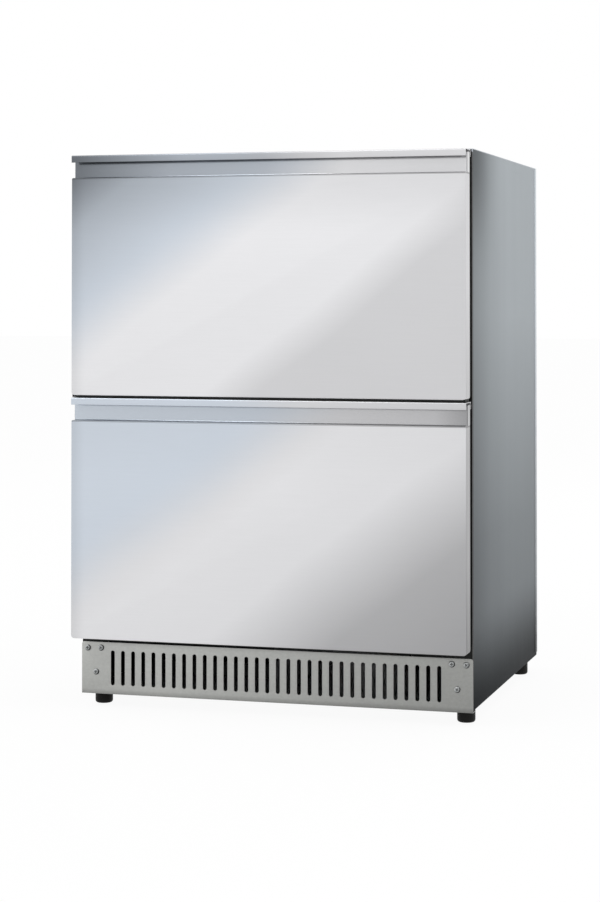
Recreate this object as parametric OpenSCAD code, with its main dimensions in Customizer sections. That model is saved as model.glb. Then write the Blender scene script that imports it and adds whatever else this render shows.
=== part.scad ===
// Undercounter refrigerator with two drawers. Millimetres, +Z up.
// The origin lies on the floor under the middle of the whole depth and width.
// +X is to the right of someone who faces the drawers, and the drawers open towards -Y.

/* [Overall size] */
// Width of the cabinet and of both drawer fronts
body_w = 600; // [540:1:720]
// Height from the floor to the top panel
body_h = 831; // [800:1:1000]
// Depth from the drawer fronts to the heads of the rear screws
body_d = 576; // [560:1:690]
// Height of the cabinet's underside above the floor
base_z = 22; // [22:1:30]

/* [Cabinet sheets] */
// Thickness of the side, top and inner deck sheets
sheet_t = 1; // [0.8:0.1:1.5]
// Thickness of the two rear sheets
wrap_t = 0.8; // [0.6:0.1:1.2]
// Depth of the strip that the rear sheets wrap around each side panel
wrap_strip = 15; // [10:1:20]
// Width of the side panels' front flanges
front_flange = 18; // [14:1:22]
// Height of the top panel's front flange
top_flange = 34; // [30:1:38]
// Width of the side panels' rear flanges
rear_flange = 15; // [13:1:20]
// Thickness of the base pan
pan_t = 1.5; // [1:0.1:2.5]

/* [Insulated box] */
// Distance from the cabinet's side to the inside of the liner
side_wall = 47; // [40:1:60]
// Distance from the cabinet's top to the inside of the liner
roof_wall = 43; // [38:1:55]
// Distance from the cabinet's rear to the inside of the liner
rear_wall = 48; // [44:1:60]
// Thickness of the liner
liner_t = 2; // [1.5:0.1:3]
// Height of the liner's floor
floor_z = 138; // [134:1:150]
// Height of the liner's step over the machine bay
step_z = 300; // [290:1:310]
// Depth of the machine bay's step, measured from the rear
step_d = 230; // [225:1:240]
// Thickness of the foam under the floor and around the machine bay
deck_wall = 36; // [30:1:38]

/* [Drawer fronts] */
// Thickness of a drawer front
front_t = 28; // [24:1:42]
// Space between a drawer front and the front frame, which the gasket fills
seal_gap = 19; // [14:1:24]
// Distance of the front frame's face ahead of the side panels
frame_lift = 7; // [5:0.5:9]
// Space between the upper and the lower drawer front
front_gap = 3.5; // [2:0.5:6]
// Distance of the upper handle cap below the cabinet's top
top_gap = 3; // [1:0.5:6]
// Height of the lower drawer front's bottom edge
front_z = 109; // [106:0.5:114]
// Thickness of the sheets of the drawer fronts
skin_t = 1; // [0.8:0.1:1.5]
// Thickness of the inner panels
inner_t = 1.5; // [1:0.1:2.5]
// Height of the handle cap's lips
cap_h = 10.5; // [8:0.5:14]
// Reach of the handle cap behind its drawer front
cap_over = 6; // [4:1:10]
// Height of the open finger recess below the cap's lip
recess_h = 23; // [18:1:30]
// Depth of the finger recess
recess_d = 13; // [10:1:16]
// Height of the seat that carries the cap above the front's top
cap_seat = 3; // [2:0.5:4]

/* [Gaskets] */
// Distance of a gasket from the edges of its front
gasket_inset = 6; // [4:1:8]
// Width of a gasket
gasket_w = 16; // [12:1:18]
// Space between a gasket and the rim it seals on
seal_clear = 0.3; // [0.2:0.1:0.6]
// Space between the strip under the upper front and the cap below it
strip_clear = 0.9; // [0.6:0.1:1.4]
// Distance of that strip from the front's face, back and side edges
strip_inset = 1.5; // [1:0.5:4]

/* [Drawers and slides] */
// Height of the bins' side walls in the upper drawer
upper_bin_h = 243; // [180:1:245]
// Height of the bins' side walls in the lower drawer
lower_bin_h = 270; // [200:1:272]
// Depth of the upper bin
upper_bin_d = 420; // [300:1:425]
// Depth of the lower bin
lower_bin_d = 285; // [200:1:288]
// Wall thickness of the bins
bin_t = 1.2; // [0.8:0.1:2.5]
// Corner radius of the bins
bin_r = 14; // [8:1:30]
// Length of the slide members
slide_l = 390; // [300:1:392]
// Height of a slide's cabinet member
slide_h = 45; // [35:1:46]
// Thickness of a whole slide
slide_w = 13; // [12:0.5:15]
// Sheet thickness of the slide members
member_t = 1.5; // [1.2:0.1:1.8]
// Space between two slide members
member_clear = 0.3; // [0.2:0.1:0.5]
// Height of the upper slides' middle above the upper front's bottom edge
upper_slide_up = 150; // [100:1:180]
// Height of the lower slides' middle above the lower front's bottom edge
lower_slide_up = 227; // [222:1:240]
// Thickness of the drawer frames' strips
strip_t = 1.5; // [1:0.1:2]

/* [Toe grille] */
// Height of the grille's bottom edge
grille_z = 20.5; // [19:0.5:20.5]
// Height of the grille's top edge
grille_top = 98; // [92:0.5:99]
// Sheet thickness of the grille
grille_t = 1.2; // [0.8:0.1:1.5]
// Number of air slots
slot_n = 32; // [16:1:32]
// Width of an air slot
slot_w = 6; // [4:0.5:7]
// Height of an air slot
slot_h = 52; // [30:1:54]
// Distance from the cabinet's side to the middle of the first slot
slot_inset = 49.5; // [44:0.1:60]

/* [Feet] */
// Radius of a foot's pad
foot_r = 13.35; // [10:0.05:14]
// Height of a foot's pad
foot_h = 20; // [14:1:20]
// Radius of a foot's threaded stem
stem_r = 5; // [4:0.5:5]
// Distance from the cabinet's side to a foot's middle
foot_inset = 19; // [17:0.5:30]
// Distance from the side panels' front edges to the front feet
foot_front = 35.5; // [30:0.5:60]
// Distance from the cabinet's rear to the rear feet
foot_rear = 60; // [40:1:70]

/* [Screws] */
// Head radius of a sheet screw
head_r = 4.5; // [3.5:0.1:5]
// Head height of a sheet screw
head_t = 2; // [1.5:0.1:2.5]
// Shank radius of a sheet screw
shank_r = 2; // [1.5:0.1:2.2]
// Clearance around a screw or a tube that passes through a sheet
hole_clear = 0.3; // [0.2:0.1:0.5]

/* [Cooling unit] */
// Radius of the compressor's shell
compressor_r = 72; // [60:1:74]
// Height of the compressor's shell
compressor_h = 160; // [130:1:170]
// Radius of the condenser fan
cond_fan_r = 76; // [60:1:80]
// Radius of the evaporator fan
evap_fan_r = 46; // [35:1:48]
// Radius of the condenser fan's shaft
cond_shaft_r = 3; // [2:0.5:4]
// Radius of the evaporator fan's shaft
evap_shaft_r = 2.5; // [2:0.5:3]
// Running clearance between a shaft and its bore
shaft_clear = 0.05; // [0.02:0.01:0.09]
// Radius of the suction, discharge and liquid tubes
tube_r = 4; // [3:0.5:4]
// Radius of the capillary tube
capillary_r = 1.5; // [1:0.5:2]
// Radius of the opening in the cord gland
cord_r = 4.2; // [3:0.1:5]

/* [Hidden] */
$fn = 48;
eps = 0.01;                             // reach of a cut past a face

// Finishes
steel_tint = [0.80, 0.81, 0.82];
side_tint = [0.55, 0.57, 0.58];
zinc_tint = [0.66, 0.67, 0.66];
black_tint = [0.10, 0.10, 0.10];
liner_tint = [0.90, 0.91, 0.91];
foam_tint = [0.93, 0.87, 0.66];
copper_tint = [0.78, 0.47, 0.30];
dark_tint = [0.22, 0.22, 0.24];

// Planes of the whole cabinet
front_y = -body_d / 2;                  // face of the drawer fronts
rear_y = body_d / 2;                    // heads of the rear screws
case_y = front_y + front_t + seal_gap;  // face of the front frame and back of the toe grille
shell_y = case_y + frame_lift;          // front edges of the side panels and the top panel
rear_out = rear_y - head_t;             // outside of the rear sheets
rear_in = rear_out - wrap_t;            // inside of the rear sheets
side_out = body_w / 2 - wrap_t;         // outside of a side panel
side_in = side_out - sheet_t;           // inside of a side panel
pan_z = base_z + sheet_t;               // underside of the base pan
pan_top = pan_z + pan_t;
roof_in = body_h - sheet_t;             // underside of the top panel
frame_y = shell_y + sheet_t;            // back of the front flanges
frame_d = 4;                            // depth of the front frame behind them
frame_drop = 5;                         // distance of the frame's face below the cabinet's top
post_w = 38;                            // width of the posts behind the toe grille's ends
bottom_flange = 8;                      // width of the side panels' bottom flanges
rear_top_flange = 16;                   // height of the top panel's rear flange

// Planes of the insulated box
liner_x = body_w / 2 - side_wall;       // inside of the liner's side
liner_y = frame_y + frame_d;            // front of the liner
liner_rear = rear_y - rear_wall;        // inside of the liner's rear
liner_roof = body_h - roof_wall;        // inside of the liner's roof
step_y = rear_y - step_d;               // inside of the liner's step
liner_rim = 14;                         // width of the liner's front rim
deck_z = floor_z - liner_t - deck_wall; // underside of the foam
bay_y = step_y + liner_t + deck_wall + 4;
bay_top = step_z - liner_t - deck_wall - 4;
rear_cover_z = step_z - 2;              // seam between the two rear sheets

// Planes of the drawer fronts
front_h = (body_h - top_gap - front_z - front_gap) / 2;
lower_z = front_z;
upper_z = front_z + front_h + front_gap;
front_back = front_y + front_t;         // back of a drawer front
cap_d = front_t + cap_over;             // depth of a handle cap
panel_y = front_back - inner_t;         // front of an inner panel
cap_clear = 3.5;                        // distance of a gasket below its cap's lips
seat_over = 3;                          // width of the mullion beyond a gasket
mullion_low = lower_z + front_h - cap_h - cap_clear - gasket_w - seat_over;
mullion_top = upper_z + gasket_inset + gasket_w + seat_over;
mullion_d = 45;                         // depth of the mullion

// Places of the drawers
bin_y = front_back + strip_t;           // front of a bin, behind its frame's front strip
bin_gap = 0.5;                          // space between a bin and its frame
bin_recess = head_t + 2;                // space that the frame screws' heads need before the bin
rail_x = liner_x - slide_w;             // outside of a drawer frame's rails
bin_x = rail_x - strip_t - bin_gap;     // outside of a bin's side
upper_bin_z = mullion_top + 6.5;
lower_bin_z = floor_z + 12;
slide_y = liner_y + 4;                  // front of the slides
upper_slide_z = upper_z + upper_slide_up;
lower_slide_z = lower_z + lower_slide_up;
rail_h = 34;                            // height of a drawer frame's rails
strap_w = 20;                           // width of a drawer frame's straps

// Places on the toe grille, from the cabinet's side and the floor
grille_holes = [[9.5, 89], [30.8, 89.5], [23, 53.5]];
slot_z = 60;                            // middle of the slots
slot_step = (body_w - 2 * slot_inset) / (slot_n - 1);
rear_hole_z = [60, 270, 330, 560, body_h - 40];
rear_hole_x = side_out - 8;
shank_l = 6;                            // length of a screw's shank

// Places of the cooling unit
comp_x = side_in - 128;                 // compressor's axis
comp_y = bay_y + 93;
mount_h = 17;                           // height of a compressor mount
comp_z = pan_top + mount_h;
comp_plate_t = 2.5;
mount_x = 62;                           // half spacing of the compressor mounts
mount_y = 58;
stub_x = comp_x - compressor_r - 8;     // ends of the compressor's tube stubs
discharge_z = comp_z + 76;
suction_z = comp_z + 106;
suction_y = comp_y + 25;
cond_x = -side_in + 133;                // middle of the condenser and its fan
cond_fan_z = pan_top + 109;
cond_w = 210;
cond_y = bay_y + 12;                    // front of the condenser's fins
cond_d = 38;
cond_low = pan_top + 14;
cond_fin_h = 192;
cond_tubes_z = [for (i = [0:5]) cond_low + 20 + i * 30.4];
shroud_y = cond_y + cond_d + 6;
bar_y = shroud_y + 26;                  // bar that carries the fan motor
drier_x = -5;
drier_y = bay_y + 103;
drier_z = pan_top + 46;
drier_h = 100;
channel_y = (liner_rear + liner_t + rear_in) / 2;
suction_x = 5;
evap_x = 180;                           // half width of the evaporator's fins
evap_y = liner_rear - 39;
evap_d = 32;
evap_z = mullion_top + 22;
evap_fin_h = 120;
evap_tubes_z = [evap_z + 15, evap_z + 45, evap_z + 75, evap_z + 105];
evap_fan_z = evap_z + evap_fin_h + 62;
cover_y = evap_y - 13;                  // front of the evaporator cover
cover_t = 2;
cover_x = liner_x - 18;
drain_x = cond_x + 15;
drain_y = 10;
drain_r = 7;
tray_h = 22;
gland_x = comp_x + 40;
gland_z = base_z + 26;
gland_r = 9;
housing_h = 32;                         // height of the control housing
housing_y = liner_y + 14;
knob_r = 13;
knob_z = liner_roof - housing_h / 2 - 2;
knob_shaft_r = 3;

// A block between two corners
module block(low, high) {
    translate(low) cube(high - low);
}

// A plate in the plane of its first two sizes with round corners
module round_slab(w, d, h, r) {
    linear_extrude(h) {
        square([w - 2 * r, d], center = true);
        square([w, d - 2 * r], center = true);
        for (x = [-1, 1], y = [-1, 1])
            translate([x * (w / 2 - r), y * (d / 2 - r)]) circle(r);
    }
}

// An outline in the plane of Y and Z, drawn out along X to both sides
module along_x(half) {
    translate([-half, 0, 0]) rotate([90, 0, 90]) linear_extrude(2 * half) children();
}

// A cylinder along Y from one depth to another
module rod_y(x, z, y0, y1, r) {
    translate([x, y1, z]) rotate([90, 0, 0]) cylinder(h = y1 - y0, r = r);
}

// A cylinder along X
module rod_x(x0, x1, y, z, r) {
    translate([x0, y, z]) rotate([0, 90, 0]) cylinder(h = x1 - x0, r = r);
}

// A slot with round ends that runs along Z, cut through along Y
module slot_cut(x, z, w, h, y0, y1) {
    block([x - w / 2, y0, z - h / 2 + w / 2], [x + w / 2, y1, z + h / 2 - w / 2]);
    for (s = [-1, 1]) rod_y(x, z + s * (h / 2 - w / 2), y0, y1, w / 2);
}

// A slot with round ends that runs along X, cut through along Y
module louvre_cut(x, z, l, h, y0, y1) {
    block([x - l / 2 + h / 2, y0, z - h / 2], [x + l / 2 - h / 2, y1, z + h / 2]);
    for (s = [-1, 1]) rod_y(x + s * (l / 2 - h / 2), z, y0, y1, h / 2);
}

// Round tubes along a route with rounded corners
function unit(v) = v / norm(v);
function corner(p, i, r) =
    let (a = unit(p[i - 1] - p[i]), b = unit(p[i + 1] - p[i]), steps = 6)
    [for (k = [0:steps]) let (t = k / steps)
        p[i] + a * r * (1 - t) * (1 - t) + b * r * t * t];
function rounded(p, r) = concat(
    [p[0]],
    [for (i = [1:1:len(p) - 2]) each corner(p, i, r)],
    [p[len(p) - 1]]);
function heading(p, i) =
    i == 0 ? unit(p[1] - p[0]) :
    i == len(p) - 1 ? unit(p[i] - p[i - 1]) :
    unit(unit(p[i] - p[i - 1]) + unit(p[i + 1] - p[i]));
module tube(route, r, bend) {
    sides = 8;
    p = rounded(route, bend);
    lean = [0.31, 0.53, 0.79];
    rings = [for (i = [0:len(p) - 1])
        let (d = heading(p, i), u = unit(cross(lean, d)), v = cross(d, u))
        [for (k = [0:sides - 1]) p[i] + r * (cos(360 * k / sides) * u + sin(360 * k / sides) * v)]];
    last = len(p) - 1;
    polyhedron(
        points = [for (ring = rings) each ring],
        faces = concat(
            [[for (k = [0:sides - 1]) sides - 1 - k]],
            [for (i = [0:last - 1], k = [0:sides - 1])
                [i * sides + k, i * sides + (k + 1) % sides,
                 (i + 1) * sides + (k + 1) % sides, (i + 1) * sides + k]],
            [[for (k = [0:sides - 1]) last * sides + k]]));
}

// Sheet screw with its head towards -Y, at the origin of the head's seat
module sheet_screw(length = shank_l) {
    difference() {
        union() {
            rod_y(0, 0, -head_t, 0, head_r);
            rod_y(0, 0, -eps, length, shank_r);
        }
        for (turn = [0, 90]) rotate([0, turn, 0])
            block([-head_r * 0.6, -head_t - eps, -0.5], [head_r * 0.6, -head_t / 2, 0.5]);
    }
}

// ---- Cabinet shell ----

module side_panel() {
    difference() {
        union() {
            block([side_in, shell_y, base_z], [side_out, rear_in, roof_in]);
            block([side_out - front_flange, shell_y, base_z], [side_out, frame_y, body_h - top_flange]);
            block([side_out - rear_flange, rear_in - sheet_t, base_z],
                  [side_out, rear_in, body_h - rear_top_flange]);
            block([side_out - bottom_flange, shell_y, base_z], [side_out, rear_in, pan_z]);
        }
        for (h = grille_holes)
            rod_y(body_w / 2 - h[0], h[1], shell_y - eps, frame_y + eps, shank_r + hole_clear);
        for (z = rear_hole_z)
            rod_y(rear_hole_x, z, rear_in - sheet_t - eps, rear_in + eps, shank_r + hole_clear);
    }
}

module right_side_panel() {
    color(side_tint) side_panel();
}

module left_side_panel() {
    color(side_tint) mirror([1, 0, 0]) side_panel();
}

module top_panel() {
    color(side_tint) {
        block([-side_out, shell_y, roof_in], [side_out, rear_in, body_h]);
        block([-side_in, shell_y, body_h - top_flange], [side_in, frame_y, roof_in + eps]);
        block([-side_in, rear_in - sheet_t, body_h - rear_top_flange], [side_in, rear_in, roof_in + eps]);
    }
}

// A rear sheet with strips that wrap around the side panels' rear edges
module rear_sheet(z0, z1) {
    difference() {
        union() {
            block([-body_w / 2, rear_in, z0], [body_w / 2, rear_out, z1]);
            for (s = [-1, 1])
                block([s > 0 ? side_out : -body_w / 2, rear_out - wrap_strip, z0],
                      [s > 0 ? body_w / 2 : -side_out, rear_out, z1]);
        }
        for (z = rear_hole_z, s = [-1, 1])
            rod_y(s * rear_hole_x, z, rear_in - eps, rear_out + eps, shank_r + hole_clear);
    }
}

module back_panel() {
    color(zinc_tint) rear_sheet(rear_cover_z, body_h);
}

module rear_vent_cover() {
    louvre_l = 110;
    louvre_h = 6;
    louvre_z = base_z + 76;
    louvre_step = 18;
    // Every row opens into the machine bay, below its ceiling
    last_row = floor((bay_top - sheet_t - louvre_h - louvre_z) / louvre_step);
    color(zinc_tint) difference() {
        rear_sheet(base_z + 6, rear_cover_z);
        for (row = [0:last_row], column = [-1:1])
            louvre_cut(column * 150, louvre_z + row * louvre_step, louvre_l, louvre_h,
                       rear_in - eps, rear_out + eps);
        rod_y(gland_x, gland_z, rear_in - eps, rear_out + eps, gland_r + hole_clear);
    }
}

module deck_panel() {
    color(zinc_tint) difference() {
        along_x(side_in) polygon([
            [frame_y, deck_z - sheet_t], [bay_y + sheet_t, deck_z - sheet_t],
            [bay_y + sheet_t, bay_top - sheet_t], [rear_in - sheet_t, bay_top - sheet_t],
            [rear_in - sheet_t, bay_top], [bay_y, bay_top], [bay_y, deck_z], [frame_y, deck_z]]);
        translate([drain_x, drain_y, deck_z - sheet_t - eps])
            cylinder(h = sheet_t + 2 * eps, r = drain_r + hole_clear);
        translate([0, channel_y, bay_top - sheet_t - eps]) cylinder(h = sheet_t + 2 * eps, r = 12);
    }
}

module base_pan() {
    color(zinc_tint) difference() {
        union() {
            block([-side_in, frame_y, pan_z], [side_in, rear_in - sheet_t, pan_top]);
            for (s = [-1, 1])
                block([s > 0 ? side_in - post_w : -side_in, frame_y, pan_z],
                      [s > 0 ? side_in : post_w - side_in, frame_y + pan_t, deck_z - sheet_t]);
        }
        for (x = foot_xs(), y = foot_ys())
            translate([x, y, pan_z - eps]) cylinder(h = pan_t + 2 * eps, r = stem_r + hole_clear);
        for (h = grille_holes, s = [-1, 1])
            rod_y(s * (body_w / 2 - h[0]), h[1], frame_y - eps, frame_y + pan_t + eps, shank_r + hole_clear);
    }
}

function foot_xs() = [-body_w / 2 + foot_inset, body_w / 2 - foot_inset];
function foot_ys() = [shell_y + foot_front, rear_out - foot_rear];

module front_frame() {
    color(dark_tint) difference() {
        union() {
            block([-side_in, frame_y, deck_z], [side_in, liner_y, roof_in]);
            block([-side_out + front_flange, shell_y - eps, deck_z],
                  [side_out - front_flange, frame_y + eps, body_h - top_flange]);
            block([-side_out, case_y, deck_z], [side_out, shell_y, body_h - frame_drop]);
            for (s = [-1, 1])
                block([s > 0 ? side_out - post_w : -side_out, case_y, base_z + 1],
                      [s > 0 ? side_out : post_w - side_out, shell_y, deck_z + eps]);
        }
        block([-liner_x, case_y - eps, floor_z], [liner_x, liner_y + eps, liner_roof]);
        for (h = grille_holes, s = [-1, 1])
            rod_y(s * (body_w / 2 - h[0]), h[1], case_y - eps, shell_y + eps, shank_r + hole_clear);
    }
}

module centre_mullion() {
    color(steel_tint)
        block([-liner_x, case_y, mullion_low], [liner_x, case_y + mullion_d, mullion_top]);
}

// Outline of the liner's inside, grown by a wall
module liner_outline(grow, front) {
    polygon([
        [front, floor_z - grow], [step_y + grow, floor_z - grow], [step_y + grow, step_z - grow],
        [liner_rear + grow, step_z - grow], [liner_rear + grow, liner_roof + grow],
        [front, liner_roof + grow]]);
}

module liner() {
    color(liner_tint) difference() {
        union() {
            along_x(liner_x + liner_t) liner_outline(liner_t, liner_y);
            block([-liner_x - liner_rim, liner_y, floor_z - liner_rim],
                  [liner_x + liner_rim, liner_y + liner_t, liner_roof + liner_rim]);
        }
        along_x(liner_x) liner_outline(0, liner_y - 1);
        translate([drain_x, drain_y, floor_z - liner_t - eps])
            cylinder(h = liner_t + 2 * eps, r = drain_r + hole_clear);
        rod_y(suction_x, evap_tubes_z[2], liner_rear - eps, liner_rear + liner_t + eps,
              tube_r + hole_clear);
        rod_y(drier_x, evap_tubes_z[0], liner_rear - eps, liner_rear + liner_t + eps,
              capillary_r + hole_clear);
    }
}

module foam_insulation() {
    corner_x = rear_flange + 2;
    corner_y = shank_l + 6;
    foam_y = liner_y + liner_t;
    color(foam_tint) difference() {
        along_x(side_in) polygon([
            [foam_y, deck_z], [bay_y, deck_z], [bay_y, bay_top], [rear_in - sheet_t, bay_top],
            [rear_in - sheet_t, roof_in], [foam_y, roof_in]]);
        along_x(liner_x + liner_t) liner_outline(liner_t, foam_y - 1);
        for (s = [-1, 1]) scale([s, 1, 1])
            block([side_out - corner_x, rear_in - corner_y, bay_top - 1], [side_out, rear_in, roof_in + 1]);
        translate([drain_x, drain_y, deck_z - 1])
            cylinder(h = floor_z - deck_z + 2, r = drain_r + hole_clear);
        translate([0, channel_y, bay_top - 1]) cylinder(h = evap_tubes_z[2] + 16 - bay_top, r = 12);
        block([-12, liner_rear, evap_tubes_z[0] - 10], [12, channel_y, evap_tubes_z[2] + 10]);
    }
}

module duct_divider() {
    color(zinc_tint) block([-0.75, frame_y + 4, pan_top], [0.75, bay_y - 2, deck_z - sheet_t]);
}

// ---- Toe grille, screws and feet ----

module toe_grille() {
    lip_d = 16;
    color(steel_tint) difference() {
        union() {
            block([-body_w / 2, case_y - grille_t, grille_z], [body_w / 2, case_y, grille_top]);
            block([-body_w / 2, case_y - grille_t, grille_z],
                  [body_w / 2, case_y + lip_d, grille_z + grille_t]);
        }
        for (i = [0:slot_n - 1])
            slot_cut(-body_w / 2 + slot_inset + i * slot_step, slot_z, slot_w, slot_h,
                     case_y - grille_t - eps, case_y + eps);
        for (h = grille_holes, s = [-1, 1])
            rod_y(s * (body_w / 2 - h[0]), h[1], case_y - grille_t - eps, case_y + eps, shank_r + hole_clear);
    }
}

module case_screws() {
    color(steel_tint) {
        for (h = grille_holes, s = [-1, 1])
            translate([s * (body_w / 2 - h[0]), case_y - grille_t, h[1]]) sheet_screw(shank_l + frame_lift);
        for (z = rear_hole_z, s = [-1, 1])
            translate([s * rear_hole_x, rear_out, z]) rotate([0, 0, 180]) sheet_screw();
    }
}

module foot_nuts() {
    nut_h = 8;
    color(zinc_tint) for (x = foot_xs(), y = foot_ys())
        translate([x, y, pan_top]) difference() {
            cylinder(h = nut_h, r = 9.2, $fn = 6);
            translate([0, 0, -eps]) cylinder(h = nut_h + 2 * eps, r = stem_r + shaft_clear);
        }
}

module foot(x, y) {
    edge_r = 2;
    stem_l = 40;
    color(black_tint) translate([x, y, 0]) {
        rotate_extrude() {
            translate([0, edge_r]) square([foot_r, foot_h - edge_r]);
            square([foot_r - edge_r, foot_h]);
            translate([foot_r - edge_r, edge_r]) circle(edge_r);
        }
        translate([0, 0, foot_h - eps]) cylinder(h = stem_l, r = stem_r);
    }
}

module front_left_foot() {
    foot(foot_xs()[0], foot_ys()[0]);
}

module front_right_foot() {
    foot(foot_xs()[1], foot_ys()[0]);
}

module rear_left_foot() {
    foot(foot_xs()[0], foot_ys()[1]);
}

module rear_right_foot() {
    foot(foot_xs()[1], foot_ys()[1]);
}

// ---- Drawers ----

// Outline of a drawer front seen from its end, in Y and Z, shrunk by an inset
module front_outline(z0, inset) {
    face_z = z0 + front_h - cap_h - recess_h;
    top = z0 + front_h - skin_t - cap_seat;
    polygon([
        [front_y + inset, z0 + inset], [front_back + 2 * eps, z0 + inset],
        [front_back + 2 * eps, top - inset], [front_y + recess_d + inset, top - inset],
        [front_y + recess_d + inset, face_z - inset], [front_y + inset, face_z - inset]]);
}

module front_skin(z0) {
    top = z0 + front_h - skin_t - cap_seat;
    seat_y = front_y + recess_d + 4;
    color(steel_tint) {
        difference() {
            intersection() {
                along_x(body_w / 2) front_outline(z0, 0);
                block([-body_w, front_y - 1, 0], [body_w, front_back, body_h]);
            }
            along_x(body_w / 2 - skin_t) front_outline(z0, skin_t);
        }
        block([-body_w / 2 + 8, seat_y, top - eps], [body_w / 2 - 8, front_back - 2, top + cap_seat]);
    }
}

module handle_cap(z0) {
    top = z0 + front_h;
    color(steel_tint) difference() {
        block([-body_w / 2, front_y, top - cap_h], [body_w / 2, front_y + cap_d, top]);
        block([-body_w, front_y + skin_t, top - cap_h - 1],
              [body_w, front_y + cap_d - skin_t, top - skin_t]);
    }
}

module front_foam(z0, slide_z) {
    color(foam_tint) difference() {
        intersection() {
            along_x(body_w / 2 - skin_t) front_outline(z0, skin_t);
            block([-body_w, front_y, 0], [body_w, panel_y, body_h]);
        }
        carriage_holes(slide_z);
    }
}

module inner_panel(z0, slide_z) {
    top = z0 + front_h - 2 * skin_t - cap_seat;
    color(liner_tint) difference() {
        block([-body_w / 2 + skin_t, panel_y, z0 + skin_t], [body_w / 2 - skin_t, front_back, top]);
        carriage_holes(slide_z);
    }
}

// Holes for the screws that join a drawer frame to its front
module carriage_holes(slide_z) {
    for (s = [-1, 1], z = carriage_hole_z(slide_z))
        rod_y(s * (rail_x - 30), z, bin_y - shank_l - 1, bin_y + eps, shank_r + hole_clear);
}

module gasket(z0) {
    x = body_w / 2 - gasket_inset;
    low = z0 + gasket_inset;
    high = z0 + front_h - cap_h - cap_clear;
    color(black_tint) difference() {
        block([-x, front_back, low], [x, case_y - seal_clear, high]);
        block([-x + gasket_w, front_back - 1, low + gasket_w], [x - gasket_w, case_y, high - gasket_w]);
    }
}

// Frame of flat strips that joins a front, its slides and its bin
module carriage(bin_z, slide_z, bin_depth) {
    rail_end = slide_y + slide_l;
    strap_ys = [bin_y + bin_depth * 0.2, bin_y + bin_depth * 0.85];
    low = bin_z - strip_t;
    color(zinc_tint) {
        difference() {
            block([-rail_x, front_back, slide_z - 80], [rail_x, bin_y, slide_z + 60]);
            carriage_holes(slide_z);
        }
        for (s = [-1, 1]) scale([s, 1, 1]) {
            block([rail_x - strip_t, front_back, slide_z - rail_h / 2],
                  [rail_x, rail_end, slide_z + rail_h / 2]);
            for (y = strap_ys)
                block([rail_x - strip_t, y - strap_w / 2, low], [rail_x, y + strap_w / 2, slide_z]);
        }
        for (y = strap_ys)
            block([-rail_x, y - strap_w / 2, low], [rail_x, y + strap_w / 2, bin_z]);
    }
}

function carriage_hole_z(slide_z) = [slide_z - 60, slide_z + 40];

module bin(bin_z, bin_h, bin_depth) {
    rim = 5;
    color(steel_tint) translate([0, bin_y + bin_depth / 2 + bin_recess, bin_z]) difference() {
        union() {
            round_slab(2 * bin_x, bin_depth, bin_h, bin_r);
            translate([0, 0, bin_h - bin_t]) round_slab(2 * (bin_x + rim), bin_depth, bin_t, bin_r);
        }
        translate([0, 0, bin_t])
            round_slab(2 * (bin_x - bin_t), bin_depth - 2 * bin_t, bin_h, bin_r - bin_t);
    }
}

module carriage_screws(slide_z) {
    color(zinc_tint) for (s = [-1, 1], z = carriage_hole_z(slide_z))
        translate([s * (rail_x - 30), bin_y, z]) rotate([0, 0, 180]) sheet_screw();
}

// A slide member: a channel with its web at x0 and lips that reach to x1
module channel(x0, x1, height, slide_z) {
    web = x0 < x1 ? [x0, x0 + member_t] : [x0 - member_t, x0];
    span = x0 < x1 ? [x0, x1] : [x1, x0];
    for (s = [-1, 1]) scale([s, 1, 1]) {
        block([web[0], slide_y, slide_z - height / 2], [web[1], slide_y + slide_l, slide_z + height / 2]);
        for (z = [slide_z - height / 2, slide_z + height / 2 - member_t])
            block([span[0], slide_y, z], [span[1], slide_y + slide_l, z + member_t]);
    }
}

member_step = 2 * (member_t + member_clear);    // loss of height from one member to the next

module cabinet_slides(slide_z) {
    color(zinc_tint) channel(liner_x, liner_x - slide_w + 2, slide_h, slide_z);
}

module middle_slides(slide_z) {
    color(zinc_tint) channel(liner_x - member_t - member_clear, liner_x - slide_w + 2,
                             slide_h - member_step, slide_z);
}

module drawer_slides(slide_z) {
    color(zinc_tint) channel(liner_x - slide_w, liner_x - 2 * (member_t + member_clear),
                             slide_h - 2 * member_step, slide_z);
}

module upper_front_skin() {
    front_skin(upper_z);
}

module lower_front_skin() {
    front_skin(lower_z);
}

module upper_handle_cap() {
    handle_cap(upper_z);
}

module lower_handle_cap() {
    handle_cap(lower_z);
}

module upper_front_foam() {
    front_foam(upper_z, upper_slide_z);
}

module lower_front_foam() {
    front_foam(lower_z, lower_slide_z);
}

module upper_inner_panel() {
    inner_panel(upper_z, upper_slide_z);
}

module lower_inner_panel() {
    inner_panel(lower_z, lower_slide_z);
}

module upper_gasket() {
    gasket(upper_z);
    // Strip that fills the view between the two fronts
    color(black_tint)
        block([-body_w / 2 + strip_inset, front_y + strip_inset, upper_z - front_gap + strip_clear],
              [body_w / 2 - strip_inset, front_back - strip_inset, upper_z]);
}

module lower_gasket() {
    gasket(lower_z);
}

module upper_carriage() {
    carriage(upper_bin_z, upper_slide_z, upper_bin_d);
}

module lower_carriage() {
    carriage(lower_bin_z, lower_slide_z, lower_bin_d);
}

module upper_bin() {
    bin(upper_bin_z, upper_bin_h, upper_bin_d);
}

module lower_bin() {
    bin(lower_bin_z, lower_bin_h, lower_bin_d);
}

module upper_carriage_screws() {
    carriage_screws(upper_slide_z);
}

module lower_carriage_screws() {
    carriage_screws(lower_slide_z);
}

module upper_cabinet_slides() {
    cabinet_slides(upper_slide_z);
}

module lower_cabinet_slides() {
    cabinet_slides(lower_slide_z);
}

module upper_middle_slides() {
    middle_slides(upper_slide_z);
}

module lower_middle_slides() {
    middle_slides(lower_slide_z);
}

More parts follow.
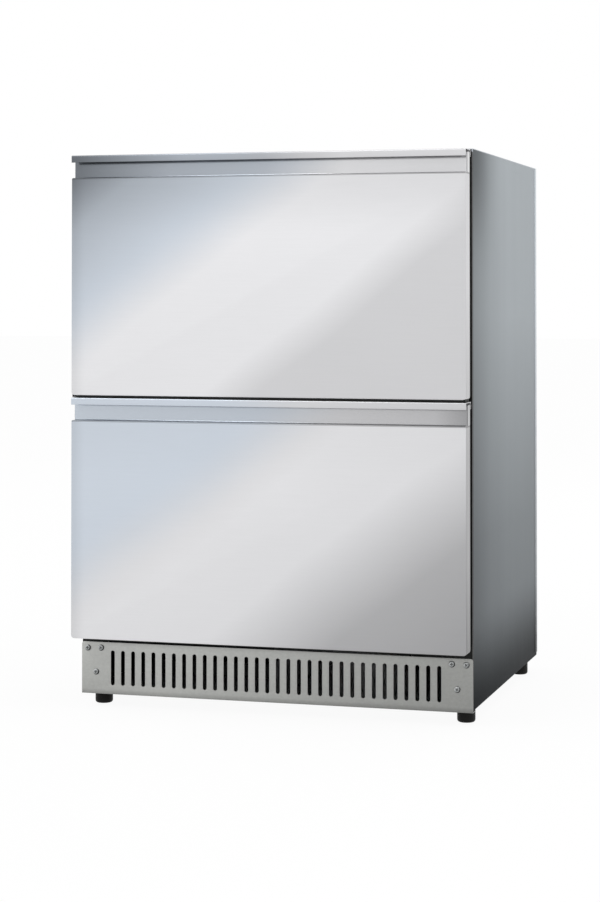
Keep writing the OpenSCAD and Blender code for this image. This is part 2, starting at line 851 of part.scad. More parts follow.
module upper_drawer_slides() {
    drawer_slides(upper_slide_z);
}

module lower_drawer_slides() {
    drawer_slides(lower_slide_z);
}

// ---- Cooling unit ----

module compressor() {
    dome = 45;
    waist = compressor_h - dome;
    color(black_tint) {
        translate([comp_x, comp_y, comp_z + comp_plate_t]) {
            rotate_extrude() {
                square([compressor_r, waist - 10]);
                translate([0, waist * 0.55]) square([compressor_r + 3, 4]);
                square([compressor_r - 10, waist]);
                translate([compressor_r - 10, waist - 10]) intersection() {
                    circle(10);
                    square(10);
                }
                translate([0, waist]) intersection() {
                    scale(compressor_r - 10) circle(1);
                    square([compressor_r, dome]);
                }
            }
        }
        difference() {
            translate([comp_x, comp_y, comp_z])
                round_slab(2 * mount_x + 28, 2 * mount_y + 28, comp_plate_t, 12);
            for (x = [-1, 1], y = [-1, 1])
                translate([comp_x + x * mount_x, comp_y + y * mount_y, comp_z - 1])
                    cylinder(h = comp_plate_t + 2, r = 5.3);
        }
        rod_x(stub_x, comp_x - compressor_r + 10, comp_y, discharge_z, tube_r);
        rod_x(stub_x, comp_x - compressor_r + 14, suction_y, suction_z, tube_r);
    }
}

module compressor_mounts() {
    color(dark_tint) for (x = [-1, 1], y = [-1, 1])
        translate([comp_x + x * mount_x, comp_y + y * mount_y, pan_top]) {
            cylinder(h = mount_h, r = 11);
            cylinder(h = mount_h + comp_plate_t + 4, r = 5);
        }
}

module terminal_box() {
    depth = 24;
    color(dark_tint) difference() {
        block([comp_x + compressor_r - 12, comp_y - 25, comp_z + 50],
              [comp_x + compressor_r + depth, comp_y + 25, comp_z + 52 + 58]);
        translate([comp_x, comp_y, comp_z])
            cylinder(h = 2 * compressor_h, r = compressor_r + 3 + hole_clear);
    }
}

// A block of fins on tubes that run along X, with round return bends
module finned_coil(x0, x1, y0, depth, z0, height, tubes_z, fins) {
    fin_t = 0.8;
    y = y0 + depth / 2;
    gap = (x1 - x0 - fin_t) / (fins - 1);
    for (i = [0:fins - 1])
        block([x0 + i * gap, y0, z0], [x0 + i * gap + fin_t, y0 + depth, z0 + height]);
    for (z = tubes_z) rod_x(x0 - 4, x1 + 4, y, z, tube_r);
    for (i = [0:len(tubes_z) - 2]) {
        bend_r = (tubes_z[i + 1] - tubes_z[i]) / 2;
        right = i % 2 == 1;
        translate([right ? x1 + 4 : x0 - 4, y, tubes_z[i] + bend_r])
            rotate([90, right ? 90 : -90, 0])
                rotate_extrude(angle = 180) translate([bend_r, 0]) circle(tube_r);
    }
}

module condenser() {
    x0 = cond_x - cond_w / 2;
    x1 = cond_x + cond_w / 2;
    tab = 14;
    color(zinc_tint) {
        finned_coil(x0, x1, cond_y, cond_d, cond_low, cond_fin_h, cond_tubes_z, 27);
        for (x = [x0, x1 - 2])
            block([x, cond_y + 8, pan_top], [x + 2, cond_y + cond_d - 8, cond_low + 1]);
        block([x0, cond_y + 8, pan_top], [x0 + tab, cond_y + cond_d - 8, pan_top + 1.5]);
        block([x1 - tab, cond_y + 8, pan_top], [x1, cond_y + cond_d - 8, pan_top + 1.5]);
    }
}

module condenser_shroud() {
    x0 = cond_x - cond_w / 2 - 4;
    x1 = cond_x + cond_w / 2 + 4;
    top = pan_top + 218;
    bar_w = 16;
    color(dark_tint) {
        difference() {
            block([x0, shroud_y, pan_top], [x1, shroud_y + 2, top]);
            rod_y(cond_x, cond_fan_z, shroud_y - 1, shroud_y + 3, cond_fan_r + 4);
        }
        difference() {
            rod_y(cond_x, cond_fan_z, shroud_y, shroud_y + 14, cond_fan_r + 6);
            rod_y(cond_x, cond_fan_z, shroud_y - 1, shroud_y + 15, cond_fan_r + 4);
        }
        difference() {
            block([cond_x - bar_w / 2, bar_y - 2, pan_top + 6], [cond_x + bar_w / 2, bar_y, top - 6]);
            rod_y(cond_x, cond_fan_z, bar_y - 3, bar_y + 1, cond_shaft_r + hole_clear);
        }
        for (z = [pan_top + 6, top - 8])
            block([cond_x - bar_w / 2, shroud_y + 1, z], [cond_x + bar_w / 2, bar_y, z + 2]);
    }
}

module condenser_fan_motor() {
    color(dark_tint) {
        rod_y(cond_x, cond_fan_z, bar_y, bar_y + 34, 28);
        rod_y(cond_x, cond_fan_z, shroud_y + 4, bar_y + 1, cond_shaft_r);
    }
}

// Axial fan on a shaft along Y, with its hub's front face at y
module fan(x, z, y, radius, hub_r, hub_h, shaft_r, blades) {
    tilt = 28;
    blade_t = 1.2;
    translate([x, y, z]) rotate([-90, 0, 0]) difference() {
        union() {
            cylinder(h = hub_h, r = hub_r);
            intersection() {
                for (k = [0:blades - 1]) rotate(k * 360 / blades)
                    translate([0, 0, hub_h / 2]) rotate([tilt, 0, 0])
                        translate([hub_r - 3, -radius * 0.28, -blade_t / 2])
                            cube([radius - hub_r + 3, radius * 0.56, blade_t]);
                cylinder(h = hub_h, r = radius);
            }
        }
        translate([0, 0, -1]) cylinder(h = hub_h + 2, r = shaft_r + shaft_clear);
    }
}

module condenser_fan_blade() {
    color(black_tint) fan(cond_x, cond_fan_z, shroud_y + 5, cond_fan_r, 18, 16, cond_shaft_r, 5);
}

module filter_drier() {
    color(copper_tint) translate([drier_x, drier_y, drier_z]) rotate_extrude() polygon([
        [0, 0], [tube_r, 0], [tube_r, 8], [11, 18], [11, drier_h - 18], [tube_r, drier_h - 8],
        [tube_r, drier_h], [0, drier_h]]);
}

module refrigerant_tubing() {
    cond_end = cond_x + cond_w / 2 + 4;
    cond_mid = cond_y + cond_d / 2;
    bend = 12;
    evap_end = evap_y + evap_d + 5;
    color(copper_tint) {
        tube([[stub_x, comp_y, discharge_z], [50, comp_y, discharge_z], [50, cond_mid, discharge_z],
              [50, cond_mid, cond_tubes_z[5]], [cond_end, cond_mid, cond_tubes_z[5]]], tube_r, bend);
        tube([[cond_end, cond_mid, cond_tubes_z[0]], [drier_x, cond_mid, cond_tubes_z[0]],
              [drier_x, drier_y, cond_tubes_z[0]], [drier_x, drier_y, drier_z]], tube_r, 10);
        tube([[stub_x, suction_y, suction_z], [66, suction_y, suction_z], [66, channel_y, suction_z],
              [suction_x, channel_y, suction_z], [suction_x, channel_y, evap_tubes_z[2]],
              [suction_x, evap_end, evap_tubes_z[2]]], tube_r, bend);
        tube([[drier_x, drier_y, drier_z + drier_h], [drier_x, drier_y, bay_top - 22],
              [drier_x, channel_y, bay_top - 22], [drier_x, channel_y, evap_tubes_z[0]],
              [drier_x, evap_end, evap_tubes_z[0]]], capillary_r, bend);
    }
}

module condensate_tray() {
    tray_t = 1.5;
    low = [-side_in + 18, -70, pan_top];
    high = [-20, bay_y - 12, pan_top + tray_h];
    color(dark_tint) difference() {
        block(low, high);
        block(low + [tray_t, tray_t, tray_t], high + [-tray_t, -tray_t, 1]);
    }
}

module drain_tube() {
    end = pan_top + tray_h - 6;
    color(dark_tint) translate([drain_x, drain_y, 0]) difference() {
        union() {
            translate([0, 0, end]) cylinder(h = floor_z - end, r = drain_r);
            translate([0, 0, floor_z]) cylinder(h = 1.5, r = drain_r + 5);
        }
        translate([0, 0, end - 1]) cylinder(h = floor_z - end + 4, r = drain_r - 2);
    }
}

module evaporator() {
    neck = 0.5;
    y = evap_y + evap_d / 2;
    color(zinc_tint) {
        finned_coil(-evap_x, evap_x, evap_y, evap_d, evap_z, evap_fin_h, evap_tubes_z, 31);
        for (x = [-evap_x, evap_x - 2])
            block([x, evap_y + 4, evap_z + 20], [x + 2, liner_rear, evap_z + 60]);
        rod_y(suction_x, evap_tubes_z[2], y, evap_y + evap_d + 5, tube_r - neck);
        rod_y(drier_x, evap_tubes_z[0], y, evap_y + evap_d + 5, capillary_r);
    }
}

module evaporator_cover() {
    low = mullion_top + 3;
    high = liner_roof - 2;
    guard_w = 3;
    guard_y = cover_y + 0.3;
    guard_back = cover_y + cover_t - 0.3;
    color(liner_tint) {
        difference() {
            block([-cover_x, cover_y, low], [cover_x, liner_rear, high]);
            block([-cover_x + cover_t, cover_y + cover_t, low + cover_t],
                  [cover_x - cover_t, liner_rear + 1, high - cover_t]);
            rod_y(0, evap_fan_z, cover_y - 1, cover_y + cover_t + 1, evap_fan_r + 3);
            for (i = [-9:9])
                slot_cut(i * 20, low + 32, 6, 40, cover_y - 1, cover_y + cover_t + 1);
        }
        for (a = [0, 90])
            translate([0, 0, evap_fan_z]) rotate([0, a, 0])
                block([-evap_fan_r - 5, guard_y, -guard_w / 2], [evap_fan_r + 5, guard_back, guard_w / 2]);
        for (r = [16, 32]) difference() {
            rod_y(0, evap_fan_z, guard_y, guard_back, r + guard_w);
            rod_y(0, evap_fan_z, cover_y - 1, cover_y + cover_t + 1, r);
        }
    }
}

module evaporator_fan_motor() {
    color(dark_tint) {
        rod_y(0, evap_fan_z, liner_rear - 28, liner_rear, 22);
        rod_y(0, evap_fan_z, cover_y + 6, liner_rear - 27, evap_shaft_r);
    }
}

module evaporator_fan_blade() {
    color(black_tint) fan(0, evap_fan_z, cover_y + 7, evap_fan_r, 11, 12, evap_shaft_r, 5);
}

// ---- Control, lamp and gland ----

module control_housing() {
    depth = 55;
    color(liner_tint) difference() {
        block([-60, housing_y, liner_roof - housing_h], [60, housing_y + depth, liner_roof]);
        rod_y(0, knob_z, housing_y - 1, housing_y + 22, knob_shaft_r + shaft_clear);
    }
}

module temperature_knob() {
    knob_h = 11;
    color(dark_tint) {
        rod_y(0, knob_z, housing_y - seal_clear - knob_h, housing_y - seal_clear, knob_r);
        rod_y(0, knob_z, housing_y - 1, housing_y + 20, knob_shaft_r);
        block([-1.5, housing_y - seal_clear - knob_h - 1.5, knob_z - 2],
              [1.5, housing_y - seal_clear - knob_h + 1, knob_z + knob_r - 1]);
    }
}

module interior_lamp() {
    color([0.96, 0.96, 0.92])
        block([90, housing_y, liner_roof - 10], [220, housing_y + 22, liner_roof]);
}

module cord_gland() {
    color(black_tint) difference() {
        union() {
            rod_y(gland_x, gland_z, rear_out, rear_y, gland_r + 3);
            rod_y(gland_x, gland_z, rear_in - 16, rear_out + eps, gland_r);
        }
        rod_y(gland_x, gland_z, rear_in - 17, rear_y + 1, cord_r);
    }
}

left_side_panel();
right_side_panel();
top_panel();
back_panel();
rear_vent_cover();
deck_panel();
base_pan();
front_frame();
centre_mullion();
liner();
foam_insulation();
toe_grille();
case_screws();
foot_nuts();
compressor();
compressor_mounts();
terminal_box();
condenser();
condenser_shroud();
condenser_fan_motor();
condenser_fan_blade();
filter_drier();
refrigerant_tubing();
condensate_tray();
drain_tube();
evaporator();
evaporator_cover();
evaporator_fan_motor();
evaporator_fan_blade();
control_housing();
temperature_knob();
interior_lamp();
cord_gland();
duct_divider();
upper_cabinet_slides();
lower_cabinet_slides();
upper_middle_slides();
lower_middle_slides();
upper_drawer_slides();
lower_drawer_slides();
upper_carriage();
lower_carriage();
upper_bin();
lower_bin();
upper_inner_panel();
lower_inner_panel();
upper_gasket();
lower_gasket();
upper_front_foam();
lower_front_foam();
upper_front_skin();
lower_front_skin();
upper_handle_cap();
lower_handle_cap();
upper_carriage_screws();
lower_carriage_screws();
front_left_foot();
front_right_foot();
rear_left_foot();
rear_right_foot();
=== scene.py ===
import math
import bmesh
import bpy
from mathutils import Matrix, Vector


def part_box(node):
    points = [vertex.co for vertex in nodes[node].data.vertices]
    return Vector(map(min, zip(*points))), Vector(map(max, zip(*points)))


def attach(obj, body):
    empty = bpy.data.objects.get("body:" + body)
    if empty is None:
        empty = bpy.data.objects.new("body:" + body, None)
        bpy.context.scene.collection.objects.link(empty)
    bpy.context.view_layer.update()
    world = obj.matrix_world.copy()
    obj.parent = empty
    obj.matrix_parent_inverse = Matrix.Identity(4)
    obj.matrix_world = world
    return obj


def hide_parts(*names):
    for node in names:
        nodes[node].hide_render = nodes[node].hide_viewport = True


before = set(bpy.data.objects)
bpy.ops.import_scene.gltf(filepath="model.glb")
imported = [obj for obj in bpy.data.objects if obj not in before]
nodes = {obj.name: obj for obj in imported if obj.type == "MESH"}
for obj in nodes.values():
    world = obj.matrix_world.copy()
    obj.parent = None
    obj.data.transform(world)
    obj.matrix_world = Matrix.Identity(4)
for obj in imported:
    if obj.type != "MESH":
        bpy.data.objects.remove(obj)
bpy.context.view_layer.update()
slotOf = {name: node.data.materials[0].name for name, node in nodes.items()}
tiny = 0.0002  # metres, how close two places have to be to count as one
print("frame loaded:", len(nodes), "nodes")


# Shaping in code

def clearSelection():
    active = bpy.context.view_layer.objects.active
    if active and active.mode != "OBJECT":
        bpy.ops.object.mode_set(mode="OBJECT")
    bpy.ops.object.select_all(action="DESELECT")


def settle(piece, name):
    bpy.ops.object.transform_apply(location=True, rotation=True, scale=True)
    piece.name = name
    piece.data.name = name
    return piece


def addBlock(name, low, high):
    clearSelection()
    low, high = Vector(low), Vector(high)
    bpy.ops.mesh.primitive_cube_add(size=1, location=(low + high) / 2)
    bpy.ops.transform.resize(value=high - low)
    return settle(bpy.context.object, name)


def addRod(name, centre, radius, length, axis="Z", sides=32):
    clearSelection()
    turn = {"X": (0, math.pi / 2, 0), "Y": (math.pi / 2, 0, 0), "Z": (0, 0, 0)}[axis]
    bpy.ops.mesh.primitive_cylinder_add(vertices=sides, radius=radius, depth=length, location=centre, rotation=turn)
    return settle(bpy.context.object, name)


def middle(part):
    if hasattr(part, "calc_center_median"):
        return part.calc_center_median()
    if hasattr(part, "co"):
        return part.co
    return (part.verts[0].co + part.verts[1].co) / 2


def along(edge, axis):
    run = edge.verts[1].co - edge.verts[0].co
    return abs(run[axis]) > 0.99 * run.length


def sharp(edge, degrees=30):
    return len(edge.link_faces) == 2 and edge.calc_face_angle() > math.radians(degrees)


def pick(piece, kind, test):  # selects what passes the test and nothing else
    if piece.mode != "EDIT":
        clearSelection()
        piece.select_set(True)
        bpy.context.view_layer.objects.active = piece
        bpy.ops.object.mode_set(mode="EDIT")
    bpy.ops.mesh.select_mode(type=kind)
    bpy.ops.mesh.select_all(action="DESELECT")
    mesh = bmesh.from_edit_mesh(piece.data)
    mesh.normal_update()
    for part in {"VERT": mesh.verts, "EDGE": mesh.edges, "FACE": mesh.faces}[kind]:
        if test(part):
            part.select_set(True)
    mesh.select_flush_mode()
    bmesh.update_edit_mesh(piece.data)


def roundEdges(piece, test, radius, steps=4):
    pick(piece, "EDGE", test)
    bpy.ops.mesh.bevel(offset=radius, segments=steps, affect="EDGES", profile=0.5)


def cutLoop(piece, place, normal):
    pick(piece, "FACE", lambda face: True)
    bpy.ops.mesh.bisect(plane_co=place, plane_no=normal)


def pullOut(move):
    bpy.ops.mesh.extrude_region_move(TRANSFORM_OT_translate={"value": Vector(move)})


def modify(piece, kind, **settings):
    clearSelection()
    piece.select_set(True)
    bpy.context.view_layer.objects.active = piece
    change = piece.modifiers.new(kind.title(), kind)
    for key, value in settings.items():
        setattr(change, key, value)
    bpy.ops.object.modifier_apply(modifier=change.name)


def cutAway(piece, cutter):
    modify(piece, "BOOLEAN", operation="DIFFERENCE", object=cutter, solver="EXACT")
    bpy.data.objects.remove(cutter)


def copyOf(piece, name, move=(0, 0, 0), flip=False):
    clearSelection()
    piece.select_set(True)
    bpy.context.view_layer.objects.active = piece
    bpy.ops.object.duplicate()
    twin = bpy.context.object
    if flip:  # to the other side of the cabinet
        bpy.ops.transform.resize(value=(-1, 1, 1), center_override=(0, 0, 0))
    bpy.ops.transform.translate(value=move)
    settle(twin, name)
    if flip:
        pick(twin, "FACE", lambda face: True)
        bpy.ops.mesh.flip_normals()
        clearSelection()
    return twin


def joinAll(pieces, name):
    clearSelection()
    for piece in pieces:
        piece.select_set(True)
    bpy.context.view_layer.objects.active = pieces[0]
    if len(pieces) > 1:
        bpy.ops.object.join()
    return settle(bpy.context.object, name)


def place(piece, body, slot, standsFor=(), finish=None, angle=30):
    clearSelection()
    piece.select_set(True)
    bpy.context.view_layer.objects.active = piece
    bpy.ops.object.shade_smooth_by_angle(angle=math.radians(angle))
    piece.data.materials.clear()
    piece.data.materials.append(finishes[finish or slot])
    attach(piece, body)
    if standsFor:
        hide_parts(*standsFor)
    return piece


def sheetBox(name, low, high, openSides, bend, gauge, steps=4):
    # a folded sheet: a box whose open sides are faces that look along those directions
    piece = addBlock(name, low, high)
    ways = [Vector(side) for side in openSides]

    def isOpen(face):
        return any(face.normal.dot(way) > 0.99 for way in ways)

    roundEdges(piece, lambda edge: not any(isOpen(face) for face in edge.link_faces), bend, steps)
    pick(piece, "FACE", isOpen)
    bpy.ops.mesh.delete(type="FACE")
    modify(piece, "SOLIDIFY", thickness=gauge, offset=-1, use_even_offset=True)
    return piece


# Materials

class Signal:  # a socket that takes part in sums
    def __init__(self, owner, socket):
        self.owner = owner
        self.socket = socket

    def maths(self, kind, first, second):
        return self.owner.node("ShaderNodeMath", {"operation": kind}, {0: first, 1: second})

    def __add__(self, other):
        return self.maths("ADD", self, other)

    def __radd__(self, other):
        return self.maths("ADD", other, self)

    def __sub__(self, other):
        return self.maths("SUBTRACT", self, other)

    def __rsub__(self, other):
        return self.maths("SUBTRACT", other, self)

    def __mul__(self, other):
        return self.maths("MULTIPLY", self, other)

    def __rmul__(self, other):
        return self.maths("MULTIPLY", other, self)

    def __truediv__(self, other):
        return self.maths("DIVIDE", self, other)

    def __abs__(self):
        return self.maths("ABSOLUTE", self, 0.0)


class NodeBench:  # adds and joins the nodes of a material or of the world
    def __init__(self, tree):
        self.tree = tree

    def connect(self, socket, value):
        if isinstance(value, Signal):
            self.tree.links.new(value.socket, socket)
        elif hasattr(socket.default_value, "__len__") and len(socket.default_value) == 4 and len(value) == 3:
            socket.default_value = (*value, 1)
        else:
            socket.default_value = value

    def node(self, kind, settings=None, values=None, out=0):
        made = self.tree.nodes.new(kind)
        for name, value in (settings or {}).items():
            if name == "stops":
                ramp = made.color_ramp
                while len(ramp.elements) < len(value):
                    ramp.elements.new(0.5)
                for element, (spot, colour) in zip(ramp.elements, value):
                    element.position = spot
                    element.color = (*colour, 1)
            else:
                setattr(made, name, value)
        for name, value in (values or {}).items():
            self.connect(made.inputs[name], value)
        return Signal(self, made.outputs[out])

    def other(self, signal, out):  # another output of the same node
        return Signal(self, signal.socket.node.outputs[out])


class Finish(NodeBench):
    def __init__(self, name, constants=None):
        self.material = bpy.data.materials.new(name)
        self.material.use_nodes = True
        super().__init__(self.material.node_tree)
        self.shader = self.tree.nodes["Principled BSDF"]
        self.set(constants or {})
        self.spot = self.node("ShaderNodeTexCoord", out="Object")
        split = self.node("ShaderNodeSeparateXYZ", None, {0: self.spot})
        self.x, self.y, self.z = split, self.other(split, 1), self.other(split, 2)

    def set(self, values):
        for name, value in values.items():
            self.connect(self.shader.inputs[name], value)

    def noise(self, scale, detail=2.0, stretch=(1, 1, 1), roughness=0.5):
        at = self.node("ShaderNodeVectorMath", {"operation": "MULTIPLY"}, {0: self.spot, 1: stretch})
        return self.node("ShaderNodeTexNoise", None,
                         {"Vector": at, "Scale": scale, "Detail": detail, "Roughness": roughness})

    def between(self, value, low, high, first=0.0, last=1.0):
        return self.node("ShaderNodeMapRange", {"interpolation_type": "SMOOTHSTEP"},
                         {0: value, 1: low, 2: high, 3: first, 4: last})

    def shares(self, value, stops):  # a brightness gradient: place from 0 to 1, factor
        top = max(share for spot, share in stops)
        ramp = self.node("ShaderNodeValToRGB", {"stops": [(spot, (share / top,) * 3) for spot, share in stops]},
                         {0: value})
        return ramp * top

    def blend(self, share, first, second):  # mix for plain values
        return first + (second - first) * share

    def mix(self, share, first, second):
        return self.node("ShaderNodeMix", {"data_type": "RGBA"}, {0: share, 6: first, 7: second}, out=2)

    def shaded(self, colour, amount):
        return self.node("ShaderNodeVectorMath", {"operation": "SCALE"}, {0: colour, "Scale": amount})

    def bump(self, height, depth, strength):
        self.set({"Normal": self.node("ShaderNodeBump", None,
                                      {"Strength": strength, "Distance": depth, "Height": height})})

    def brushed(self, colour, roughness, stretch, amount=1.0):  # brush marks run where the stretch is small
        marks = self.noise(420, 3, stretch, 0.62)
        broad = self.noise(9, 2)
        self.set({"Base Color": self.shaded(colour, amount * (0.985 + (marks - 0.5) * 0.05 + (broad - 0.5) * 0.03)),
                  "Roughness": roughness + (marks - 0.5) * 0.12 + (broad - 0.5) * 0.06})
        self.bump(marks, 0.00002, 0.35)
        return self.material


def tone(red, green, blue):  # a screen colour, 0 to 255, as the light that it stands for
    def light(value):
        value /= 255
        return value / 12.92 if value <= 0.04045 else ((value + 0.055) / 1.055) ** 2.4
    return (light(red), light(green), light(blue))


# Plain brushed metals: colour, metallic, roughness, stretch of the brush marks
metals = {
    "bin_steel": (tone(206, 208, 211), 0.9, 0.30, (1, 0.04, 1)),
    "slide_steel": (tone(190, 193, 196), 0.9, 0.32, (1, 0.03, 1)),
    "copper": (tone(205, 128, 92), 1.0, 0.30, (1, 1, 1)),
    "fins": (tone(200, 203, 206), 0.9, 0.36, (0.2, 1, 1)),
}


def metalFinish(slot):
    colour, metallic, roughness, stretch = metals[slot]
    finish = Finish(slot + "Metal", {"Metallic": metallic})
    cloud = finish.noise(22, 3)
    darker = tuple(part * 0.9 for part in colour)
    return finish.brushed(finish.mix(cloud, colour, darker), roughness, stretch)


# Moulded and painted surfaces: two tones of the colour, roughness, scale and depth of the texture, sheen level
skins = {
    "liner_plastic": (tone(232, 234, 234), tone(224, 227, 228), 0.34, 700.0, 0.00006, 0.5),
    "dark_plastic": (tone(40, 41, 43), tone(32, 33, 35), 0.46, 900.0, 0.00010, 0.4),
    "seal": (tone(24, 25, 24), tone(17, 18, 17), 0.62, 1100.0, 0.00006, 0.2),
    "foot_plastic": (tone(22, 22, 20), tone(14, 14, 13), 0.50, 1200.0, 0.00005, 0.15),
    "black_paint": (tone(30, 31, 33), tone(22, 23, 25), 0.32, 500.0, 0.00008, 0.5),
    "lamp": (tone(244, 244, 236), tone(236, 237, 230), 0.28, 300.0, 0.00004, 0.5),
}


def skinFinish(slot):
    first, second, roughness, scale, depth, sheen = skins[slot]
    finish = Finish(slot + "Skin", {"Specular IOR Level": sheen})
    cloud = finish.noise(14, 3)
    pores = finish.noise(scale, 2, roughness=0.6)
    finish.set({"Base Color": finish.mix(cloud, first, second),
                "Roughness": roughness + (pores - 0.5) * 0.14 + (cloud - 0.5) * 0.08})
    finish.bump(pores, depth, 0.5)
    return finish.material


def foamFinish():
    finish = Finish("foamedCore", {"Roughness": 0.9})
    cells = finish.node("ShaderNodeTexVoronoi", None, {"Vector": finish.spot, "Scale": 900.0})
    cloud = finish.noise(30, 3)
    finish.set({"Base Color": finish.mix(cloud, tone(240, 226, 176), tone(228, 210, 156))})
    finish.bump(cells, 0.0003, 0.6)
    return finish.material


# Satin side panels: one steel colour under painted reflection and shade, brighter towards the top and darker at
# the front edge and near the floor
sideLook = {
    "metallic": 0.4,
    "roughness": 0.4,
    "edgeTint": 0.45,
    "foldShade": 0.5,
    "steel": tone(186, 192, 196),
    "byHeight": [(0, 0.45), (0.3, 0.58), (0.7, 0.95), (1, 1)],
    "byDepth": [(0, 0.62), (0.25, 0.88), (0.5, 1), (1, 1)],
    "floorShade": 0.2,
    "floorReach": 0.18,
    "cornerShade": 0.5,
    "cornerFrom": 0.75,
    "cornerDepth": 0.4,
    "foldReach": 0.003,
    "topLight": tone(190, 195, 202),
    "topDark": tone(180, 185, 192),
}


# painted reflection and shade: brighter upwards, darker at the front, the top front corner, the fold and the floor
def sidePaintedShading(finish):
    look = sideLook
    low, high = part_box("right_side_panel")
    height, depth = (finish.z - low.z) / (high.z - low.z), (finish.y - low.y) / (high.y - low.y)
    bright = finish.shares(height, look["byHeight"]) * finish.shares(depth, look["byDepth"])
    bright = bright * finish.between(height, 0, look["floorReach"], look["floorShade"], 1)
    corner = finish.between(height, look["cornerFrom"], 1) * finish.between(depth, 0, look["cornerDepth"], 1, 0)
    bright = bright * (1 - corner * look["cornerShade"])
    bright = bright * finish.between(finish.y, low.y, low.y + look["foldReach"], look["foldShade"], 1)
    return finish.shaded(look["steel"], bright)


def sideFinish():
    look = sideLook
    finish = Finish("satinSide", {"Metallic": look["metallic"], "Specular IOR Level": 0.0,
                                  "Specular Tint": (look["edgeTint"],) * 3})
    streaks = finish.noise(26, 3, (1, 1, 0.06))
    return finish.brushed(sidePaintedShading(finish), look["roughness"], (1, 1, 0.03), 1 + (streaks - 0.5) * 0.06)


def topFinish():
    look = sideLook
    finish = Finish("satinTop", {"Metallic": look["metallic"], "Specular IOR Level": 0.2})
    cloud = finish.noise(6, 2)
    return finish.brushed(finish.mix(cloud, look["topLight"], look["topDark"]), look["roughness"], (0.03, 1, 1))


def zincFinish():  # hot-dip spangle; where folded round the sides it takes their colour and painted shade, lighter
    finish = Finish("galvanisedSheet", {"Metallic": 0.6, "Specular IOR Level": 0.2})
    drift = finish.node("ShaderNodeTexNoise", None, {"Vector": finish.spot, "Scale": 60.0}, out=1)
    warped = finish.node("ShaderNodeVectorMath", {"operation": "ADD"}, {
        0: finish.spot, 1: finish.node("ShaderNodeVectorMath", {"operation": "SCALE"}, {0: drift, "Scale": 0.006})})
    cells = finish.node("ShaderNodeTexVoronoi", None, {"Vector": warped, "Scale": 85.0}, out=1)
    grey = finish.node("ShaderNodeSeparateColor", None, {0: cells})
    dust = finish.noise(240, 3)
    zinc = finish.shaded(finish.mix(grey, tone(158, 161, 162), tone(186, 189, 190)), 0.97 + (dust - 0.5) * 0.08)
    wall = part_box("right_side_panel")[1].x
    folded = finish.between(abs(finish.x), wall - 3 * tiny, wall - tiny / 2)
    # the folded edge: the sides' painted reflection and shade, brightened
    finish.set({"Base Color": finish.mix(folded, zinc, finish.shaded(sidePaintedShading(finish), 1.3)),
                "Roughness": 0.40 + grey * 0.14 + (dust - 0.5) * 0.1})
    finish.bump(dust, 0.00003, 0.3)
    return finish.material


def frameFinish():  # black moulded frame round the openings, its outer edge the sides' colour in deeper painted shade
    roughness, scale, depth = skins["dark_plastic"][2:5]
    finish = Finish("openingFrame", {"Specular IOR Level": 0.15})
    pores = finish.noise(scale, 2, roughness=0.6)
    cloud = finish.noise(14, 3)
    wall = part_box("right_side_panel")[1].x
    edge = finish.between(abs(finish.x), wall - 2 * tiny, wall - tiny / 2)
    dark = finish.mix(cloud, tone(24, 25, 24), tone(18, 19, 18))
    # the outer edge: the sides' painted shade, darkened further
    finish.set({"Base Color": finish.mix(edge, dark, finish.shaded(sidePaintedShading(finish), 0.3)),
                "Roughness": roughness + (pores - 0.5) * 0.14})
    finish.bump(pores, depth, 0.4)
    return finish.material


finishes = {"satin_side": sideFinish(), "galvanised": zincFinish(), "foam": foamFinish()}
for slot in metals:
    finishes[slot] = metalFinish(slot)
for slot in skins:
    finishes[slot] = skinFinish(slot)
finishes["frame"] = frameFinish()
finishes["topSheet"] = topFinish()
print("plain finishes made:", len(finishes))


# Drawer fronts: folded satin pans with a finger recess under a channel-shaped cap

frontSheet = {
    "gauge": 0.001, "bend": 0.0020, "corner": 0.005,
    "recessHeight": 0.023, "recessDepth": 0.013, "seatHeight": 0.003,
    "seatInset": 0.008, "seatFront": 0.004, "seatBack": 0.002,
}

# Two steel colours for the fronts, the cooler at the left, under soft gradients of painted reflection and shade: the
# face's runs diagonally from its top left corner, the recess's and lip's from left to right, the wall's downwards.
# The bands are distances in metres from the surface or edge that they follow
frontLook = {
    "across": 0.272,
    "down": 0.208,
    "reach": 3.8,
    "metallic": 0.8,
    "roughness": 0.34,
    "recessPolish": 0.16,
    "seamShade": 0.55,
    "steel": tone(223, 223, 225),
    "coolSteel": tone(210, 218, 228),
    "coolReach": (0.9, 1.5),
    "capCoolReach": (0.35, 0.65),
    "upper": {
        "face": [(0, 0.3), (0.1, 0.65), (0.26, 0.9), (0.38, 1.1), (0.6, 1.1), (0.68, 0.88), (1, 0.86)],
        "recess": [(0, 0.25), (0.25, 0.6), (0.5, 0.7), (0.7, 0.98), (1, 0.9)],
        "lip": [(0, 0.2), (0.3, 0.6), (0.5, 0.62), (0.7, 0.88), (1, 0.9)],
        "wall": [(0, 0.9), (0.5, 0.88), (1, 0.68)],
        "underCap": 0.86,
    },
    "lower": {
        "face": [(0, 0.95), (0.3, 0.95), (0.42, 1.04), (0.6, 1), (0.8, 0.58), (1, 0.48)],
        "recess": [(0, 0.85), (0.6, 0.78), (0.92, 0.68), (1, 0.45)],
        "lip": [(0, 0.92), (0.3, 0.93), (1, 0.8)],
        "wall": [(0, 0.56), (0.6, 0.44), (1, 0.2)],
        "underCap": 0.95,
    },
    "edgeShade": 0.88, "edgeReach": 0.04,
    "capReach": 0.3,
    "ledgeShade": 0.5, "ledgeBand": (0.0027, 0.0016),
    "foldShade": 0.5,
    "recessBand": (0.001, 0.0004),
    "wallBand": (0.0007, 0.0003), "wallStart": (0.0005, 0.0016),
    "seamBand": (0.0055, 0.001),
    "swirl": 0.22,
}


